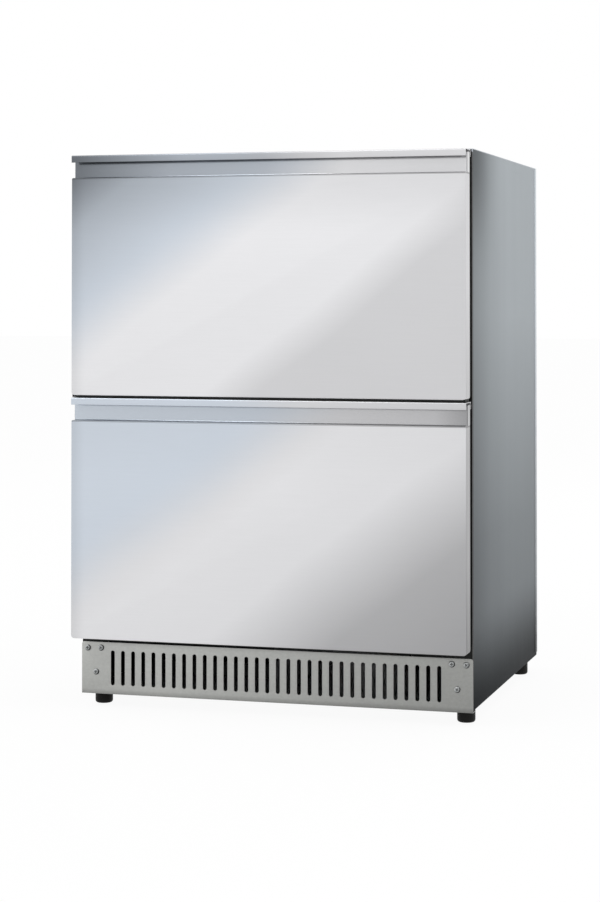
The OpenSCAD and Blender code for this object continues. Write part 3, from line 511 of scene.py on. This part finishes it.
def frontFinish(which):
    look, parts, make = frontLook, frontLook[which], frontSheet
    low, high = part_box(which + "_front_skin")
    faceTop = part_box(which + "_handle_cap")[0].z - make["recessHeight"]
    wallY = low.y + make["recessDepth"]
    finish = Finish("satin" + which.title() + "Front", {"Metallic": look["metallic"]})
    x, y, z = finish.x, finish.y, finish.z
    swirl = (finish.noise(3.2, 1) - 0.5) * look["swirl"]
    fromTop, across = (faceTop - z) / (faceTop - low.z), (x - low.x) / (high.x - low.x)
    # painted reflection: a bright band runs diagonally across the face, wobbled by the swirl noise
    diagonal = (x - low.x) / look["across"] + (faceTop - z) / look["down"] + swirl
    face = finish.shares(diagonal / look["reach"], parts["face"])
    # painted shade under the cap and along the left edge
    face = face * finish.between(fromTop, 0, look["capReach"], parts["underCap"], 1)
    face = face * finish.between(across, 0, look["edgeReach"], look["edgeShade"], 1)
    # painted reflection and shade across the recess, from left to right
    recess = finish.shares(across, parts["recess"])
    # painted shade on the fold beside the recess
    turned = finish.between(x, high.x - make["bend"], high.x - make["bend"] / 3)  # the fold beside the recess
    inRecess = finish.between(z, faceTop, faceTop + 3 * tiny)
    inRecess = inRecess * finish.between(y, *[wallY - edge for edge in look["recessBand"]])
    bright = finish.blend(inRecess, face, recess * (1 - turned * look["foldShade"]))
    steel = finish.mix(finish.between(diagonal, *look["coolReach"]), look["coolSteel"], look["steel"])
    side = finish.between(abs(x), *[high.x - edge for edge in look["wallBand"]])
    side = side * finish.between(y, *[low.y + edge for edge in look["wallStart"]])
    # painted shade where the wall runs in behind the seal
    seam = finish.between(y, *[high.y - edge for edge in look["seamBand"]])  # where the wall runs in behind the seal
    # painted highlight on the pan's side wall, fading into painted shade downwards
    wall = finish.shares(fromTop, parts["wall"]) * (1 - seam * look["seamShade"])
    bright = finish.blend(side, bright, wall)
    # painted shade on the ledge at the foot of the recess
    ledge = finish.between(z, *[faceTop - edge for edge in look["ledgeBand"]]) * (1 - inRecess)
    bright = bright * (1 - ledge * look["ledgeShade"])
    return finish.brushed(finish.shaded(steel, bright), look["roughness"] - inRecess * look["recessPolish"],
                          (0.03, 1, 1))


def capFinish(which):
    look = frontLook
    low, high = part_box(which + "_handle_cap")
    finish = Finish("satin" + which.title() + "Cap", {"Metallic": look["metallic"]})
    across = (finish.x - low.x) / (high.x - low.x)
    steel = finish.mix(finish.between(across, *look["capCoolReach"]), look["coolSteel"], look["steel"])
    # painted reflection and shade along the lip, from left to right
    colour = finish.shaded(steel, finish.shares(across, look[which]["lip"]))
    return finish.brushed(colour, look["roughness"], (0.03, 1, 1))


for which in ("upper", "lower"):
    finishes[which + "Front"] = frontFinish(which)
    finishes[which + "Cap"] = capFinish(which)
finishes["satin_front"] = finishes["upperFront"]


def frontShape(name, low, high, faceTop, wallY, corner):  # solid with the recess stepped back above its face
    piece = addBlock(name, low, (high.x, high.y, faceTop))
    cutLoop(piece, (0, wallY, 0), (0, 1, 0))
    pick(piece, "FACE", lambda face: face.normal.z > 0.9 and middle(face).y > wallY)
    pullOut((0, 0, high.z - faceTop))
    roundEdges(piece, lambda edge: along(edge, 1) and middle(edge).z < low.z + tiny, corner, 6)
    return piece


def frontPlanes(which):
    make = frontSheet
    low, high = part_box(which + "_front_skin")
    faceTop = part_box(which + "_handle_cap")[0].z - make["recessHeight"]
    return low, Vector((high.x, high.y, high.z - make["seatHeight"])), faceTop, low.y + make["recessDepth"]


def frontPan():
    make = frontSheet
    low, high, faceTop, wallY = frontPlanes("lower")
    piece = frontShape("lower_front_shell", low, high, faceTop, wallY, make["corner"])

    def folded(edge):
        return sharp(edge, 40) and middle(edge).y < high.y - tiny and not (
            along(edge, 1) and middle(edge).z > high.z - tiny)

    roundEdges(piece, folded, make["bend"], 4)
    pick(piece, "FACE", lambda face: face.normal.y > 0.9 and middle(face).y > high.y - tiny)
    bpy.ops.mesh.delete(type="FACE")
    modify(piece, "SOLIDIFY", thickness=make["gauge"], offset=-1, use_even_offset=True)
    seat = addBlock("seat", (low.x + make["seatInset"], wallY + make["seatFront"], high.z - tiny),
                    (high.x - make["seatInset"], high.y - make["seatBack"], high.z + make["seatHeight"]))
    roundEdges(seat, lambda edge: sharp(edge) and middle(edge).z > high.z, 0.0008, 2)
    return joinAll([piece, seat], "lower_front_shell")


def frontCore():
    make = frontSheet
    gauge = make["gauge"]
    faceTop, wallY = frontPlanes("lower")[2:]
    low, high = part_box("lower_front_foam")
    return frontShape("lower_front_core", low, high, faceTop - gauge, wallY + gauge, make["corner"] - gauge)


capSheet = {"gauge": 0.001, "bend": 0.0016, "hem": 0.005}


def gripCap():
    make = capSheet
    gauge = make["gauge"]
    low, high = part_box("lower_handle_cap")
    start = low.z + gauge
    parts = [sheetBox("cap", (low.x, low.y, start), high, [(0, 0, -1), (1, 0, 0), (-1, 0, 0)], make["bend"], gauge)]
    for skin, inward in ((low.y, 1), (high.y, -1)):  # both lips are rolled over and folded back on themselves
        parts.append(addRod("roll", (0, skin + inward * gauge, start), gauge, high.x - low.x, "X", 24))
        edges = sorted((skin + inward * gauge, skin + inward * 2 * gauge))
        parts.append(addBlock("hem", (low.x, edges[0], start), (high.x, edges[1], low.z + make["hem"])))
    return joinAll(parts, "lower_grip_cap")


innerLiner = {"firstInset": 0.024, "slope": 0.008, "flat": 0.008, "rise": 0.006, "bend": 0.001}


def innerPanel():
    make = innerLiner
    low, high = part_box("lower_inner_panel")
    piece = addBlock("lower_door_liner", low, high)
    pick(piece, "FACE", lambda face: face.normal.y > 0.9)
    bpy.ops.mesh.inset(thickness=make["firstInset"], depth=0)
    bpy.ops.mesh.inset(thickness=make["slope"], depth=make["rise"])
    bpy.ops.mesh.inset(thickness=make["flat"], depth=0)
    bpy.ops.mesh.inset(thickness=make["slope"], depth=-make["rise"])
    roundEdges(piece, lambda edge: sharp(edge, 20) and abs(middle(edge).x) < high.x - tiny
               and low.z + tiny < middle(edge).z < high.z - tiny, make["bend"], 3)
    roundEdges(piece, lambda edge: along(edge, 1) and sharp(edge) and middle(edge).z < low.z + tiny,
               frontSheet["corner"] - frontSheet["gauge"], 6)
    return piece


gasketForm = {"width": 0.016, "foot": 0.003, "pad": 0.006, "groove": 0.003, "stripRise": 0.006}


def sealRing():
    make = gasketForm
    low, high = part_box("lower_gasket")
    piece = addBlock("lower_seal", low, high)
    pick(piece, "FACE", lambda face: abs(face.normal.y) > 0.9)
    bpy.ops.mesh.inset(thickness=make["width"], depth=0)
    bpy.ops.mesh.delete(type="FACE")
    pick(piece, "EDGE", lambda edge: len(edge.link_faces) == 1)
    bpy.ops.mesh.bridge_edge_loops()
    bands = [low.y + make["foot"], high.y - make["pad"]]
    mid = (bands[0] + bands[1]) / 2
    for y in (bands[0], mid - 0.001, mid + 0.001, bands[1]):
        cutLoop(piece, (0, y, 0), (0, 1, 0))
    for first, last in ((bands[0], mid - 0.001), (mid + 0.001, bands[1])):
        pick(piece, "FACE", lambda face: abs(face.normal.y) < 0.1 and first < middle(face).y < last)
        bpy.ops.mesh.extrude_region_shrink_fatten(TRANSFORM_OT_shrink_fatten={"value": -make["groove"],
                                                                             "use_even_offset": True})
    modify(piece, "BEVEL", width=0.0006, segments=2, limit_method="ANGLE", angle_limit=math.radians(40))
    return piece


def viewStrip():  # fills the view between the two fronts, up into the upper one's rounded corners
    low, high, faceTop, wallY = frontPlanes("upper")
    stripLow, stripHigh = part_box("upper_gasket")
    strip = addBlock("strip", stripLow,
                     (stripHigh.x, high.y - (stripLow.y - low.y), low.z + gasketForm["stripRise"]))
    cutAway(strip, frontShape("cutter", low, high, faceTop, wallY, frontSheet["corner"]))
    roundEdges(strip, lambda e: along(e, 0) and sharp(e, 60) and middle(e).z < stripLow.z + tiny, 0.0005, 2)
    clearSelection()
    return strip


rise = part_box("upper_front_skin")[0].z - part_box("lower_front_skin")[0].z
for make, slot, finish, replaced in ((frontPan, "satin_front", "Front", "_front_skin"),
                                     (frontCore, "foam", None, "_front_foam"),
                                     (gripCap, "satin_front", "Cap", "_handle_cap"),
                                     (innerPanel, "liner_plastic", None, "_inner_panel"),
                                     (sealRing, "seal", None, "_gasket")):
    lower = make()
    clearSelection()
    upper = copyOf(lower, lower.name.replace("lower", "upper"), (0, 0, rise))
    if make is sealRing:
        upper = joinAll([upper, viewStrip()], upper.name)
    for which, piece in (("lower", lower), ("upper", upper)):
        place(piece, which + "_drawer", slot, [which + replaced], finish and which + finish)
print("drawer fronts made")


# Cabinet shell

shellSheet = {"gauge": 0.001, "bend": 0.0018, "frontFlange": 0.018, "rearFlange": 0.015, "bottomFlange": 0.008,
              "topFlange": 0.034, "rearTopFlange": 0.016, "wrap": 0.0008, "wrapBend": 0.0012}


def sidePanels():
    make = shellSheet
    low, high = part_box("right_side_panel")
    start = (high.x - make["frontFlange"], low.y, low.z)
    right = sheetBox("right_side_sheet", start, high, [(-1, 0, 0), (0, 0, 1)], make["bend"], make["gauge"])
    inner = high.x - make["frontFlange"] + tiny
    pick(right, "VERT", lambda v: v.co.x < inner and v.co.y > high.y - 2 * make["gauge"])
    bpy.ops.transform.translate(value=(make["frontFlange"] - make["rearFlange"], 0, 0))
    pick(right, "VERT", lambda v: v.co.x < inner and v.co.z < low.z + 2 * make["gauge"]
         and low.y + 0.004 < v.co.y < high.y - 0.004)
    bpy.ops.transform.translate(value=(make["frontFlange"] - make["bottomFlange"], 0, 0))
    left = copyOf(right, "left_side_sheet", flip=True)
    place(right, "cabinet", "satin_side", ["right_side_panel"])
    place(left, "cabinet", "satin_side", ["left_side_panel"])


def topPanel():
    make = shellSheet
    low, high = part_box("top_panel")
    sideIn = high.x - make["gauge"]
    piece = sheetBox("top_sheet", low, high, [(0, 0, -1), (1, 0, 0), (-1, 0, 0)], make["bend"], make["gauge"])
    pick(piece, "VERT", lambda v: v.co.z < high.z - 0.003)
    bpy.ops.transform.resize(value=(sideIn / high.x, 1, 1), center_override=(0, 0, 0))
    pick(piece, "VERT", lambda v: v.co.z < high.z - 0.003 and v.co.y > 0)
    bpy.ops.transform.translate(value=(0, 0, make["topFlange"] - make["rearTopFlange"]))
    place(piece, "cabinet", "satin_side", ["top_panel"], "topSheet")


louvres = {"rows": 9, "rowStep": 0.018, "firstRow": 0.098, "columns": (-0.150, 0, 0.150), "length": 0.110,
           "height": 0.006, "hoodRadius": 0.0034, "hoodIn": 0.0012, "hoodGauge": 0.0005, "cordHole": 0.0093}


def rearSheets():
    make = shellSheet
    for node, name in (("back_panel", "rear_sheet"), ("rear_vent_cover", "rear_louvre_sheet")):
        low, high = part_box(node)
        piece = sheetBox(name, low, high, [(0, -1, 0), (0, 0, 1), (0, 0, -1)], make["wrapBend"], make["wrap"])
        if node == "rear_vent_cover":
            cutLouvres(piece, high.y)
            glandLow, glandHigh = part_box("cord_gland")
            centre = (glandLow + glandHigh) / 2
            cutAway(piece, addRod("hole", (centre.x, high.y, centre.z), louvres["cordHole"], 0.01, "Y", 32))
        place(piece, "cabinet", "galvanised", [node])


def cutLouvres(piece, outside):
    make = louvres
    slots = [(x, make["firstRow"] + row * make["rowStep"]) for row in range(make["rows"]) for x in make["columns"]]
    x, z = slots[0]
    half = make["length"] / 2
    cutter = addBlock("slot", (x - half, outside - 0.004, z - make["height"] / 2),
                      (x + half, outside + 0.004, z + make["height"] / 2))
    roundEdges(cutter, lambda edge: along(edge, 1), make["height"] * 0.49, 4)
    inside = outside - make["hoodIn"]
    hood = addRod("hood", (x, inside, z + make["height"] / 2), make["hoodRadius"], make["length"] - 0.002, "X", 24)
    pick(hood, "FACE", lambda face: abs(face.normal.x) > 0.9)
    bpy.ops.mesh.delete(type="FACE")
    pick(hood, "FACE", lambda face: face.normal.y < -0.15 or face.normal.z < -0.8)
    bpy.ops.mesh.delete(type="FACE")
    pick(hood, "VERT", lambda v: True)
    bpy.ops.transform.resize(value=(1, 0.82, 1.25), center_override=(x, inside, z))
    modify(hood, "SOLIDIFY", thickness=make["hoodGauge"], offset=-1)
    cutters = [copyOf(cutter, "slot", (sx - x, 0, sz - z)) for sx, sz in slots[1:]] + [cutter]
    covers = [copyOf(hood, "hood", (sx - x, 0, sz - z)) for sx, sz in slots[1:]] + [hood]
    cutAway(piece, joinAll(cutters, "slots"))
    place(joinAll(covers, "louvre_hoods"), "cabinet", "galvanised")


slotForm = {"count": 32, "width": 0.006, "height": 0.052, "inset": 0.0495, "middle": 0.060,
            "gauge": 0.0012, "corner": 0.0035, "burr": 0.0004}

# Toe grille: one steel colour with painted reflection and shade, darker towards the right end and the floor
grilleLook = {
    "metallic": 0.7,
    "roughness": 0.42,
    "steel": tone(180, 181, 178),
    "along": [(0, 1), (0.2, 1.06), (1, 0.7)],
    "byHeight": [(0, 0.55), (0.1, 0.88), (1, 1.1)],
}


def grilleFinish():
    look = grilleLook
    low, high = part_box("toe_grille")
    finish = Finish("satinGrille", {"Metallic": look["metallic"]})
    bright = finish.shares((finish.x - low.x) / (high.x - low.x), look["along"])
    bright = bright * finish.shares((finish.z - low.z) / (high.z - low.z), look["byHeight"])
    speckle = finish.noise(300, 4, (0.7, 1, 1), 0.7)
    return finish.brushed(finish.shaded(look["steel"], bright), look["roughness"], (0.05, 1, 1),
                          1 + (speckle - 0.5) * 0.3)


def toeGrille():
    make = slotForm
    low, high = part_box("toe_grille")
    face = low.y + make["gauge"]
    piece = addBlock("toe_grille_plate", low, (high.x, face, high.z))
    cutLoop(piece, (0, 0, low.z + make["gauge"]), (0, 0, 1))
    pick(piece, "FACE", lambda f: f.normal.y > 0.9 and middle(f).z < low.z + make["gauge"])
    pullOut((0, high.y - face, 0))
    roundEdges(piece, lambda e: along(e, 1) and middle(e).z > high.z - tiny, make["corner"], 6)
    roundEdges(piece, lambda e: along(e, 0) and middle(e).z < low.z + tiny and middle(e).y < low.y + tiny, 0.001, 3)
    x = low.x + make["inset"]
    cutter = addBlock("slot", (x - make["width"] / 2, low.y - 0.003, make["middle"] - make["height"] / 2),
                      (x + make["width"] / 2, face + 0.003, make["middle"] + make["height"] / 2))
    roundEdges(cutter, lambda e: along(e, 1), make["width"] * 0.498, 6)
    step = (high.x - low.x - 2 * make["inset"]) / (make["count"] - 1)
    modify(cutter, "ARRAY", count=make["count"], use_relative_offset=False, use_constant_offset=True,
           constant_offset_displace=(step, 0, 0))
    cutAway(piece, cutter)
    modify(piece, "BEVEL", width=make["burr"], segments=2, limit_method="ANGLE", angle_limit=math.radians(50))
    place(piece, "cabinet", "satin_grille", ["toe_grille"])


finishes["satin_grille"] = grilleFinish()
sidePanels()
topPanel()
rearSheets()
toeGrille()
print("cabinet shell made")


# Screws and feet

screwForm = {"headRadius": 0.0046, "headHeight": 0.002, "dome": 0.0015, "cross": 0.0013, "crossReach": 0.0030,
             "crossDepth": 0.0013, "shankRadius": 0.0020, "shankLength": 0.006,
             "grillePlaces": ((0.0095, 0.0890), (0.0308, 0.0895), (0.0230, 0.0535)),
             "rearPlaces": (0.060, 0.270, 0.330, 0.560), "rearTop": 0.040, "rearInset": 0.0088}

# Screw heads: painted highlight on faces turned to lightWay, painted shade on the rest and in the recess
screwLook = {"metallic": 0.85, "roughness": 0.30, "light": tone(205, 208, 208), "dark": tone(34, 36, 36),
             "lightWay": (-0.62, -0.35, 0.70)}


def screwFinish():
    look, make = screwLook, screwForm
    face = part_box("toe_grille")[0].y - make["headHeight"]
    finish = Finish("panScrewMetal", {"Metallic": look["metallic"]})
    facing = finish.node("ShaderNodeTexCoord", out="Normal")
    lit = finish.other(finish.node("ShaderNodeVectorMath", {"operation": "DOT_PRODUCT"},
                                   {0: facing, 1: look["lightWay"]}), 1)
    # painted shade in the cross recess and round the dome's rim
    sunkShade = finish.between(finish.y, face + 0.0003, face + 0.0009) * finish.between(finish.y, 0, 0.01, 1, 0)
    colour = finish.mix(finish.between(lit, -0.1, 0.75), look["dark"], look["light"])
    return finish.brushed(finish.mix(sunkShade * 0.7, colour, look["dark"]), look["roughness"], (1, 1, 1))


def panScrew(name, x, y, z):  # its head looks to -Y and is seated at y
    make = screwForm
    head = addRod(name, (x, y - make["headHeight"] / 2, z), make["headRadius"], make["headHeight"], "Y", 32)
    roundEdges(head, lambda e: sharp(e) and middle(e).y < y - make["headHeight"] / 2, make["dome"], 5)
    pick(head, "FACE", lambda f: f.normal.y > 0.9)
    bpy.ops.mesh.inset(thickness=make["headRadius"] - make["shankRadius"], depth=0)
    pullOut((0, make["shankLength"], 0))
    clearSelection()
    bars = []
    for wide, high in ((make["crossReach"], make["cross"] / 2), (make["cross"] / 2, make["crossReach"])):
        bar = addBlock("bar", (x - wide, y - make["headHeight"] - 0.001, z - high),
                       (x + wide, y - make["headHeight"] + make["crossDepth"], z + high))
        pick(bar, "FACE", lambda f: f.normal.y > 0.9)
        bpy.ops.transform.resize(value=(0.55, 1, 0.55), center_override=(x, y, z))
        bars.append(bar)
    for bar in bars:
        cutAway(head, bar)
    return head


def caseScrews():
    make = screwForm
    low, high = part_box("toe_grille")
    places = [(side * (high.x - inset), z) for side in (-1, 1) for inset, z in make["grillePlaces"]]
    first = panScrew("screw", places[0][0], low.y, places[0][1])
    group = [first]
    for index, (x, z) in enumerate(places[1:]):
        twin = copyOf(first, "screw")
        pick(twin, "VERT", lambda v: True)  # each was turned to its own rest by the screwdriver
        bpy.ops.transform.rotate(value=0.5 + 0.9 * index, orient_axis="Y",
                                 center_override=(places[0][0], low.y, places[0][1]))
        bpy.ops.transform.translate(value=(x - places[0][0], 0, z - places[0][1]))
        clearSelection()
        group.append(twin)
    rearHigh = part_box("back_panel")[1]
    rear = copyOf(first, "rear_screw")
    pick(rear, "VERT", lambda v: True)
    bpy.ops.transform.rotate(value=math.pi, orient_axis="Z", center_override=(places[0][0], low.y, 0))
    clearSelection()
    heights = list(make["rearPlaces"]) + [rearHigh.z - make["rearTop"]]
    for x, z in [(side * (rearHigh.x - make["rearInset"]), z) for side in (-1, 1) for z in heights]:
        group.append(copyOf(rear, "screw", (x - places[0][0], rearHigh.y - low.y, z - places[0][1])))
    bpy.data.objects.remove(rear)
    place(joinAll(group, "pan_head_screws"), "cabinet", "screw_steel", ["case_screws"])


footForm = {"padHeight": 0.020, "stemRadius": 0.005, "edge": 0.0040, "topEdge": 0.001, "sides": 48, "pitch": 0.00125,
            "threadDepth": 0.86}


def levellingFoot():
    make = footForm
    low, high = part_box("front_right_foot")
    centre = (low + high) / 2
    radius = (high.x - low.x) / 2
    piece = addRod("front_right_pad", (centre.x, centre.y, make["padHeight"] / 2), radius, make["padHeight"], "Z",
                   make["sides"])
    roundEdges(piece, lambda e: sharp(e) and middle(e).z < tiny, make["edge"], 5)
    roundEdges(piece, lambda e: sharp(e) and middle(e).z > make["padHeight"] - tiny, make["topEdge"], 2)
    pick(piece, "FACE", lambda f: f.normal.z > 0.99)
    bpy.ops.mesh.inset(thickness=radius - make["topEdge"] - make["stemRadius"] - 0.002, depth=0)
    bpy.ops.mesh.inset(thickness=0.002, depth=0.001)
    turns = int((high.z - make["padHeight"] - 0.001) / make["pitch"])
    for turn in range(turns):  # thread of the stem, one ring at a time
        for scale in (1.0, make["threadDepth"], 1.0, 1 / make["threadDepth"]):
            pullOut((0, 0, make["pitch"] / 4))
            if scale != 1.0:
                bpy.ops.transform.resize(value=(scale, scale, 1), center_override=(centre.x, centre.y, 0))
    clearSelection()
    return piece, centre


def feet():
    foot, home = levellingFoot()
    for corner in ("front_left", "rear_left", "rear_right"):
        low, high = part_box(corner + "_foot")
        centre = (low + high) / 2
        twin = copyOf(foot, corner + "_pad", (centre.x - home.x, centre.y - home.y, 0))
        place(twin, "foot_" + corner, "foot_plastic", [corner + "_foot"])
    place(foot, "foot_front_right", "foot_plastic", ["front_right_foot"])


finishes["screw_steel"] = screwFinish()
caseScrews()
feet()
print("screws and feet made")


# Bins and slides

binForm = {"corner": 0.014, "floorBend": 0.008, "gauge": 0.0012, "rim": 0.005, "rimEnds": 0.003, "hem": 0.004}


def drawerBin(which):
    make = binForm
    low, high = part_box(which + "_bin")
    low += Vector((make["rim"], make["rimEnds"], make["gauge"]))
    high -= Vector((make["rim"], make["rimEnds"], 0))
    piece = addBlock(which + "_bin_tub", low, high)
    roundEdges(piece, lambda e: along(e, 2), make["corner"], 6)
    roundEdges(piece, lambda e: sharp(e, 60) and middle(e).z < low.z + tiny, make["floorBend"], 4)
    pick(piece, "FACE", lambda f: f.normal.z > 0.9)
    bpy.ops.mesh.extrude_region_move()
    bpy.ops.transform.resize(value=((high.x + make["rim"]) / high.x, 1 + 2 * make["rimEnds"] / (high.y - low.y), 1),
                             center_override=(0, (low.y + high.y) / 2, high.z))
    bpy.ops.mesh.delete(type="FACE")
    pick(piece, "EDGE", lambda e: len(e.link_faces) == 1)
    pullOut((0, 0, -make["hem"]))
    pick(piece, "FACE", lambda f: True)
    bpy.ops.mesh.normals_make_consistent(inside=False)
    modify(piece, "SOLIDIFY", thickness=make["gauge"], offset=-1, use_even_offset=True)
    place(piece, which + "_drawer", "bin_steel", [which + "_bin"])


slideForm = {"lips": 0.011, "bend": 0.0016, "gauge": 0.0015, "width": 0.013, "gap": 0.0003, "holes": 6,
             "holeRadius": 0.0028, "holeLength": 0.05}


def slideMember(node, body, outer, inner, openWay):
    make = slideForm
    low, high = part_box(node)
    right = sheetBox(node + "_right", (outer, low.y, low.z), (inner, high.y, high.z),
                     [openWay, (0, 1, 0), (0, -1, 0)], make["bend"], make["gauge"])
    for index in range(make["holes"]):
        y = low.y + (high.y - low.y) * (index + 0.5) / make["holes"]
        spot = ((outer + inner) / 2, y, (low.z + high.z) / 2)
        cutAway(right, addRod("hole", spot, make["holeRadius"], make["holeLength"], "X", 20))
    left = copyOf(right, "left", flip=True)
    place(joinAll([right, left], node + "_pair"), body, "slide_steel", [node])


for which in ("upper", "lower"):
    drawerBin(which)
    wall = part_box(which + "_cabinet_slides")[1].x
    step = slideForm["gauge"] + slideForm["gap"]
    slideMember(which + "_cabinet_slides", "cabinet", wall - slideForm["lips"], wall, (-1, 0, 0))
    slideMember(which + "_middle_slides", which + "_slide_middle", wall - slideForm["lips"], wall - step, (-1, 0, 0))
    slideMember(which + "_drawer_slides", which + "_drawer", wall - slideForm["width"], wall - 2 * step, (1, 0, 0))
print("bins and slides made")

for name, node in nodes.items():  # what stays as it came gets its finish too
    node.data.materials.clear()
    node.data.materials.append(finishes["frame" if name == "front_frame" else slotOf[name]])


# Stage, light and camera

studio = {
    "ambient": 0.80,
    "lamps": (
        ("keyLamp", (-1.7, -3.3, 4.0), (0, 0, 0.4), 2.6, 46),
        ("fillLamp", (3.0, -1.0, 3.4), (0, 0, 0.4), 2.2, 18),
        ("rearLamp", (0.4, 3.2, 3.2), (0, 0, 0.4), 2.0, 22),
    ),
    "floorSize": 60, "floorWhite": 0.97, "floorGlow": 0.93,
}


def whiteWorld():
    world = bpy.data.worlds.new("studio")
    bpy.context.scene.world = world
    world.use_nodes = True
    bench = NodeBench(world.node_tree)
    ray = bench.node("ShaderNodeLightPath", out="Is Camera Ray")
    seen = ray + bench.other(ray, "Is Glossy Ray") + bench.other(ray, "Is Transmission Ray")
    level = bench.node("ShaderNodeMapRange", None, {0: seen, 3: studio["ambient"], 4: 1.0})
    back = bench.tree.nodes["Background"].inputs
    bench.connect(back["Strength"], level)
    bench.connect(back["Color"], (1, 1, 1))


def softLamp(name, spot, target, size, power):
    lamp = bpy.data.lights.new(name, "AREA")
    lamp.shape = "DISK"
    lamp.size = size
    lamp.energy = power
    holder = bpy.data.objects.new(name, lamp)
    bpy.context.scene.collection.objects.link(holder)
    holder.location = spot
    holder.rotation_euler = (Vector(target) - Vector(spot)).to_track_quat("-Z", "Y").to_euler()


def paleFloor():
    clearSelection()
    bpy.ops.mesh.primitive_plane_add(size=studio["floorSize"], location=(0, 0, 0))
    floor = settle(bpy.context.object, "floor")
    finish = Finish("paleFloor", {"Roughness": 0.9, "Base Color": (studio["floorWhite"],) * 3})
    glow = finish.node("ShaderNodeEmission")
    ray = finish.node("ShaderNodeLightPath", out="Is Camera Ray")
    seen = ray + finish.other(ray, "Is Glossy Ray") + finish.other(ray, "Is Transmission Ray")
    surface = Signal(finish, finish.shader.outputs[0])
    blend = finish.node("ShaderNodeMixShader", None, {0: seen * studio["floorGlow"]})
    for index, part in ((1, surface), (2, glow)):
        finish.tree.links.new(part.socket, blend.socket.node.inputs[index])
    finish.tree.links.new(blend.socket, finish.tree.nodes["Material Output"].inputs["Surface"])
    floor.data.materials.append(finish.material)


view = {"spot": (0.93835, -3.3415, 0.61485), "yaw": 0.2815, "pitch": 0.020, "lens": 87.607, "shiftY": -0.2180}


def photoCamera():
    data = bpy.data.cameras.new("camera")
    data.lens = view["lens"]
    data.sensor_width = 36
    data.shift_y = view["shiftY"]
    data.clip_end = 100
    camera = bpy.data.objects.new("camera", data)
    bpy.context.scene.collection.objects.link(camera)
    camera.location = view["spot"]
    camera.rotation_euler = (math.pi / 2 + view["pitch"], 0, view["yaw"])
    bpy.context.scene.camera = camera


whiteWorld()
for lamp in studio["lamps"]:
    softLamp(*lamp)
paleFloor()
photoCamera()
bpy.context.scene.view_settings.view_transform = "Standard"
print("stage set")

clearSelection()
